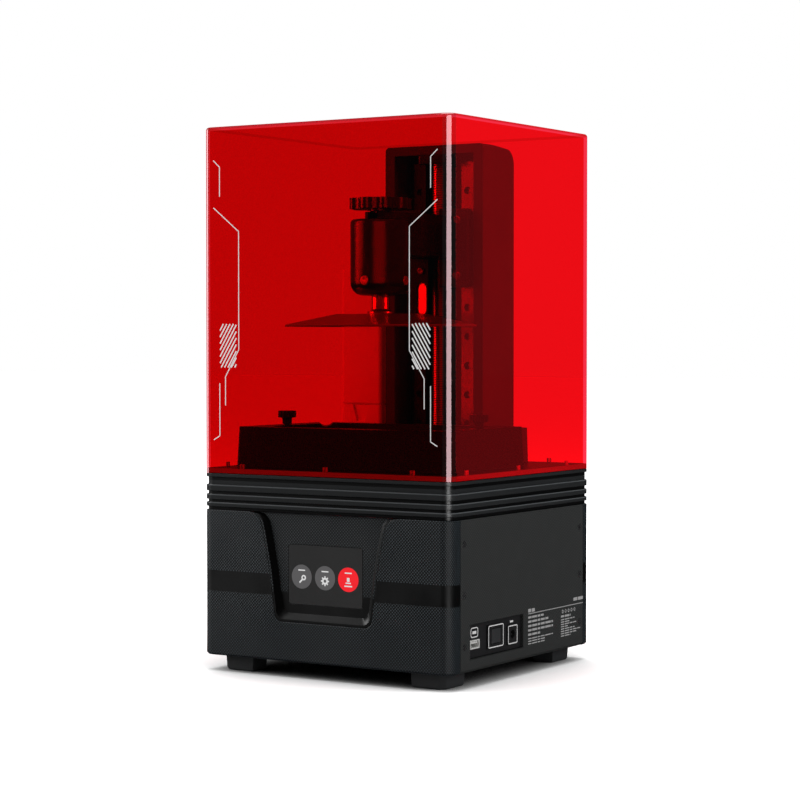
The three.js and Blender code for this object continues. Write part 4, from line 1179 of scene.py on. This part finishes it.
def stem_and_plate():
    _, _, (low, high) = spans("ball_stem")
    radius, fillet = 7.5 * MM, 2.6 * MM
    stem = turned([
        (11 * MM, low), (11 * MM, low + 1.4 * MM), (10.4 * MM, low + 1.9 * MM),
        *arc((radius + fillet, low + 4.5 * MM), fillet, 270, 180, 8),
        (radius, high - 3 * MM), (5.5 * MM, high),
    ], 64, (0, HEAD_Y))
    finish_piece(stem, "stem", "steel", "platform", 0.15 * MM, "ball_stem")

    x, y, (low, high) = spans("build_plate")
    edge, slope_x, slope_y = 1.6 * MM, 32 * MM, 29 * MM
    half_x, half_y = length(x) / 2, length(y) / 2
    loops = []
    for share, height in ((0, low), (0, low + edge), (1, high)):
        a, b = half_x - share * slope_x, half_y - share * slope_y
        corners = [(a, -b), (a, b), (-a, b), (-a, -b)]
        loops.append([(px, HEAD_Y + py, height) for px, py in corners])
    finish_piece(
        lofted(loops), "hipped_plate", "aluminium", "platform", 0.35 * MM, "build_plate", 3
    )


def knob():
    """A lobed knob with a dished top, on its threaded stud."""
    (_, radius), _, (low, top) = spans("clamp_knob")
    bottom = 379.7 * MM
    centre = (0, HEAD_Y)

    def lobe(wave):
        return radius - 1.9 * MM * (1 - math.copysign(abs(wave) ** 0.6, wave))

    star = extruded(fluted(8, 14, lobe, centre), bottom, top)
    cut(star, turned([(15 * MM, top - 1.2 * MM), (16.5 * MM, top + 1 * MM)], 64, centre))
    hub = spans("platform_arm")[2][1] + GAP
    stud = turned([
        (3.2 * MM, low), (4 * MM, low + 0.8 * MM), (4 * MM, hub), (8.6 * MM, hub),
        (9 * MM, hub + 0.4 * MM), (9 * MM, bottom + 1 * MM),
    ], 48, centre)
    add(star, stud)
    finish_piece(star, "lobed_knob", "black_gloss", "knob", 0.9 * MM, "clamp_knob", 3)


# ------------------------------------------------------------------ vat


def vat():
    """A tray with drafted sides, a pouring lip at its rear left corner and two thumb screws."""
    x, y, (bottom, top) = spans("vat_body")
    centre = (0, VAT_Y)
    below, above = bottom - 1 * MM, top + 1 * MM
    body = stack([(0, bottom), (2 * MM, top)], length(x), length(y), 4 * MM, 8, centre)
    floor = bottom + 3.4 * MM
    room = [(0, floor - 4 * MM), (-2 * MM, above)]
    lip = cylinder(8 * MM, -20 * MM, 20 * MM, 48)
    moved(lip, at(-88 * MM, VAT_Y + 49 * MM, top + 5.2 * MM) @ turn(35, "Z") @ turn(90, "X"))
    cut(
        body, stack(room, 156 * MM, 100 * MM, 14 * MM, 10, centre),
        extruded(rounded(173 * MM, 117 * MM, 5 * MM, 6, centre), below, floor), lip,
    )
    for name in ("vat_knob_left", "vat_knob_right"):
        place = (middle(spans(name)[0]), VAT_Y)
        cut(body, cylinder(3.4 * MM, below, above, 24, place))
        vat_knob(name, place)
    finish_piece(body, "vat_tray", "black_metal", "vat", 0.7 * MM, "vat_body", 3)


def vat_knob(node, centre):
    """A fluted thumb screw on a collar."""
    z0, z1 = spans(node)[2]
    seat = spans("vat_body")[2][1] + GAP
    low = seat + 5.5 * MM
    outline = fluted(14, 8, lambda wave: 7.3 * MM + 0.4 * MM * wave, centre)
    collar = turned([
        (2.2 * MM, z0), (2.6 * MM, z0 + 0.6 * MM), (2.6 * MM, seat), (4 * MM, seat),
        (4 * MM, seat + 4 * MM), (5 * MM, low + 0.5 * MM),
    ], 40, centre)
    head = add(extruded(outline, low, z1), collar)
    body = node.replace("knob", "screw")
    finish_piece(head, node + "_fluted", "plastic", body, 0.35 * MM, node)


# ------------------------------------------------------------------ cover


def cover():
    """A clear cap of even thickness with round corners and a round upper edge."""
    low, high = COVER_Z
    edge = 2.4 * MM
    levels = [(WALL, high - WALL), (WALL, low), (0, low), (0, low + 0.5 * MM)]
    levels.append((0, high - edge - 1 * MM))
    levels += [(edge - px, high - edge + pz) for px, pz in arc((0, 0), edge, 0, 90, 6)]
    shell = stack(levels, WIDTH, DEPTH, CORNER, 12)
    finish_piece(shell, "clear_cover", "cover", "cover", 0, "cover")
    for polygon in shell.data.polygons:
        polygon.use_smooth = len(polygon.vertices) == 4
    shell.data.set_sharp_from_angle(angle=math.radians(30))
    cover_lines()
    cover_foot()


def cover_foot():
    """The dull lowest part of the cover's wall, as a thin core inside it."""
    low, inset, height = COVER_Z[0], 0.3 * MM, 4 * MM
    levels = [(inset, low + inset), (inset, low + height), (WALL - inset, low + height),
              (WALL - inset, low + inset)]
    core = stack(levels, WIDTH, DEPTH, CORNER, 12, closed=True)
    finish_piece(core, "cover_foot_core", "cover_foot", "cover", 0)


def cover_lines():
    """Plain white rules and a hatched patch down each side of the cover's front."""
    paths = [
        [(107.5, 418.6), (101.3, 413.1), (101.3, 389.1)],
        [(107.5, 380.1), (82, 360.1), (82, 264.1), (95.5, 242.1), (95.5, 218.6)],
        [(101.3, 236.6), (101.3, 193.6), (107.5, 190.1)],
    ]
    strokes = hatched((84.5, 249.6), (101, 285.1))
    for path in paths:
        for a, b in zip(path, path[1:]):
            strokes.append(bar(*((x * MM, z * MM) for x, z in (a, b)), 0.8 * MM))
    right = joined(strokes)
    left = right.copy()
    left.data = right.data.copy()
    bpy.context.scene.collection.objects.link(left)
    moved(left, Matrix.Scale(-1, 4, (1, 0, 0)))
    for name, figure in (("cover_lines_right", right), ("cover_lines_left", left)):
        printed(name, [figure], "ink", on_front(FRONT), "cover")


def hatched(low, high, fall=1.57, spacing=3.4, width=1.2):
    """Parallel strokes that fall to the right inside a rectangle given in millimetres."""
    (left, bottom), (right, top) = low, high
    reach = (top - bottom) / fall
    count = int((right - left + reach) / spacing)
    strokes = []
    for i in range(count):
        start = left - reach + (i + 0.5) * spacing
        x0, x1 = max(start, left), min(start + reach, right)
        z0, z1 = top - (x0 - start) * fall, top - (x1 - start) * fall
        if x1 - x0 > 0.6:
            strokes.append(bar((x0 * MM, z0 * MM), (x1 * MM, z1 * MM), width * MM))
    return strokes


# ------------------------------------------------------------------ everything else


def inner_pieces():
    """Pieces whose CAD shape is already right get rounded edges and a real finish."""
    plain = {
        "plastic": ["port_plate", "switch_housing", "power_jack", "fan_frame", "fan_rotor",
                    "limit_sensor", "projector_lens"],
        "rubber": ["power_rocker"],
        "black_metal": ["bottom_plate", "light_engine", "lift_motor", "rail_plate",
                        "lower_bearing", "upper_bearing"],
        "aluminium": ["screen_module", "engine_bracket", "shaft_coupler"],
        "steel": ["film_frame"],
        "plated": ["usb_port"],
        "window": ["projection_window"],
        "film": ["release_film"],
        "board": ["main_board"],
        "filter": ["filter_dock", "air_filter"],
    }
    edges = dict.fromkeys(("usb_port", "film_frame", "bottom_plate"), 0.12 * MM)
    edges |= {"projection_window": 0, "release_film": 0}
    for look, nodes in plain.items():
        for node in nodes:
            refined(node, look, edges.get(node, 0.35 * MM))


# ------------------------------------------------------------------ stage, light and camera

CAMERA_AT = (1.0099, -1.5884, 0.2737)
CAMERA_TURN = (88.63, 0, 32.44)
LENS_MM = 101.15
SHIFT_Y = -0.0104
FLOOR_GAIN = 2.6
WHITE = (1.0, 1.0, 1.0)


def camera():
    data = bpy.data.cameras.new("camera")
    data.lens = LENS_MM
    data.sensor_width = 36
    data.shift_y = SHIFT_Y
    data.clip_end = 100
    view = bpy.data.objects.new("camera", data)
    view.location = CAMERA_AT
    view.rotation_euler = [math.radians(angle) for angle in CAMERA_TURN]
    bpy.context.scene.collection.objects.link(view)
    bpy.context.scene.camera = view


def lamp(name, place, size, power, glossy=True, diffuse=True, only=(), without=(),
         colour=(1, 1, 1)):
    """A soft rectangular lamp that points at the printer. It can be kept to some pieces only,
    or away from some."""
    data = bpy.data.lights.new(name, "AREA")
    data.shape = "RECTANGLE"
    data.size, data.size_y = size
    data.energy = power
    data.color = colour
    light = bpy.data.objects.new(name, data)
    light.location = place
    direction = Vector((0, 0, 0.22)) - Vector(place)
    light.rotation_euler = direction.to_track_quat("-Z", "Y").to_euler()
    light.visible_glossy = glossy
    light.visible_diffuse = diffuse
    light.visible_camera = False
    bpy.context.scene.collection.objects.link(light)
    if only or without:
        linked = bpy.data.collections.new(name + " pieces")
        for piece in only or without:
            linked.objects.link(bpy.data.objects[piece])
        for entry in linked.collection_objects:
            entry.light_linking.link_state = "INCLUDE" if only else "EXCLUDE"
        light.light_linking.receiver_collection = linked


def around(azimuth, distance, height):
    """A place seen from the printer: azimuth 0 is in front, 90 to the right."""
    angle = math.radians(azimuth)
    return (distance * math.sin(angle), -distance * math.cos(angle), height)


def white_floor():
    """A pale floor that shows as white wherever no shadow falls on it, and is hardly mirrored
    by the printer."""
    tree = Tree("floor")
    path = tree.node("ShaderNodeLightPath").outputs
    plain = tree.node("ShaderNodeBsdfDiffuse", Color=(0.8, 0.8, 0.8, 1))
    dull = tree.node("ShaderNodeBsdfDiffuse", Color=(0.04, 0.04, 0.04, 1))
    exposed = tree.node("ShaderNodeBsdfDiffuse")
    near = tree.node("ShaderNodeAmbientOcclusion", Distance=0.3, samples=16)
    open_sky = tree.product(tree.maths("POWER", near.outputs["AO"], 1.1), FLOOR_GAIN)
    tree.link(open_sky, exposed.inputs["Color"])
    hidden = tree.mixed(path["Is Glossy Ray"], plain.outputs[0], dull.outputs[0])
    return tree.finished(tree.mixed(path["Is Camera Ray"], hidden, exposed.outputs[0]))


def studio():
    """A white surround that is dim in reflections. What the metal inside the cover mirrors is
    brighter and redder than what the outside mirrors."""
    tree = Tree("studio", "worlds")
    path = tree.node("ShaderNodeLightPath").outputs

    def background(colour, strength):
        made = tree.node("ShaderNodeBackground", Color=(*colour, 1), Strength=strength)
        return made.outputs[0]

    inside = tree.ramp(path["Transparent Depth"], 0.0, 1.0, 1.0, 2.0)
    shiny = tree.mixed(inside, background(WHITE, 0.024), background((1, 0.03, 0.04), 0.48))
    hidden = tree.mixed(path["Is Glossy Ray"], background(WHITE, 0.4), shiny)
    return tree.finished(tree.mixed(path["Is Camera Ray"], hidden, background(WHITE, 1.0)))


def lamps():
    """Soft light for everything, and narrower lamps that only make highlights on some pieces."""
    lamp("top", (0, 0, 2.4), (2.0, 2.0), 16)
    lamp("left key", around(-62, 2.0, 0.9), (1.0, 1.2), 22, without=("clear_cover",))
    lamp("right fill", around(100, 2.0, 0.8), (1.0, 1.0), 24, glossy=False)

    shell, cap, rail = ("front_shell_moulding",), ("clear_cover",), ("rail_right_ground",)
    screws = tuple(f"set_screw_{side}_turned" for side in ("left", "front", "right"))
    black = ("head_cup", "lobed_knob", *screws)
    bright = ("stem", "threaded_rod", "limit_flag_slider")
    pink, red = (1.0, 0.66, 0.71), (1.0, 0.03, 0.04)
    # each lamp: its name, azimuth, distance, height, size, power, pieces and colour
    for name, azimuth, distance, height, size, power, pieces, colour in (
        ("rib strip", 48, 2.2, 0.3, (1.2, 1.1), 34, ("ribbed_casing",), WHITE),
        ("shell strip", 48, 2.2, 0.3, (1.0, 1.1), 14, shell, WHITE),
        ("cover strip", 48, 2.2, 0.3, (1.6, 1.5), 22, cap, pink),
        ("cover edge strip", -90, 2.2, 0.3, (0.9, 1.5), 12, cap, pink),
        ("red veil", 147, 2.6, 0.3, (3.2, 3.0), 42, cap, red),
        ("left glint", -56, 2.2, 0.4, (1.4, 1.5), 62, black, WHITE),
        ("left metal glint", -44, 2.2, 0.4, (1.0, 1.5), 34, bright, WHITE),
        ("rail glint", -33, 2.2, 0.4, (0.7, 1.5), 34, rail, WHITE),
        ("front glint", 28, 2.2, 0.4, (1.7, 1.5), 56, black, WHITE),
        ("right glint", 100, 2.2, 0.4, (0.9, 1.5), 30, bright + rail, WHITE),
    ):
        place = around(azimuth, distance, height)
        lamp(name, place, size, power, diffuse=False, only=pieces, colour=colour)
    lamp("filter fill", around(-20, 2.0, 0.6), (1.0, 1.0), 20, glossy=False,
         only=("air_filter_detailed", "filter_dock_detailed"))
    lamp("column fill", around(100, 2.0, 0.5), (1.0, 1.0), 45, glossy=False,
         only=("column_cover", "column_plinth"))


def stage():
    side = 12.0
    floor = block((-side, side), (-side, side), (-0.01, 0))
    floor.name = "floor"
    floor.data.materials.append(white_floor())
    bpy.context.scene.world = studio()
    lamps()
    bpy.context.scene.view_settings.view_transform = "Standard"


# ------------------------------------------------------------------ build it

camera()
outer_panels()
upper_casing()
feet()
control_panel()
port_marks()
rating_plate()
threaded_rod()
rails()
tower()
carriage()
platform_head()
vat()
cover()
inner_pieces()
stage()
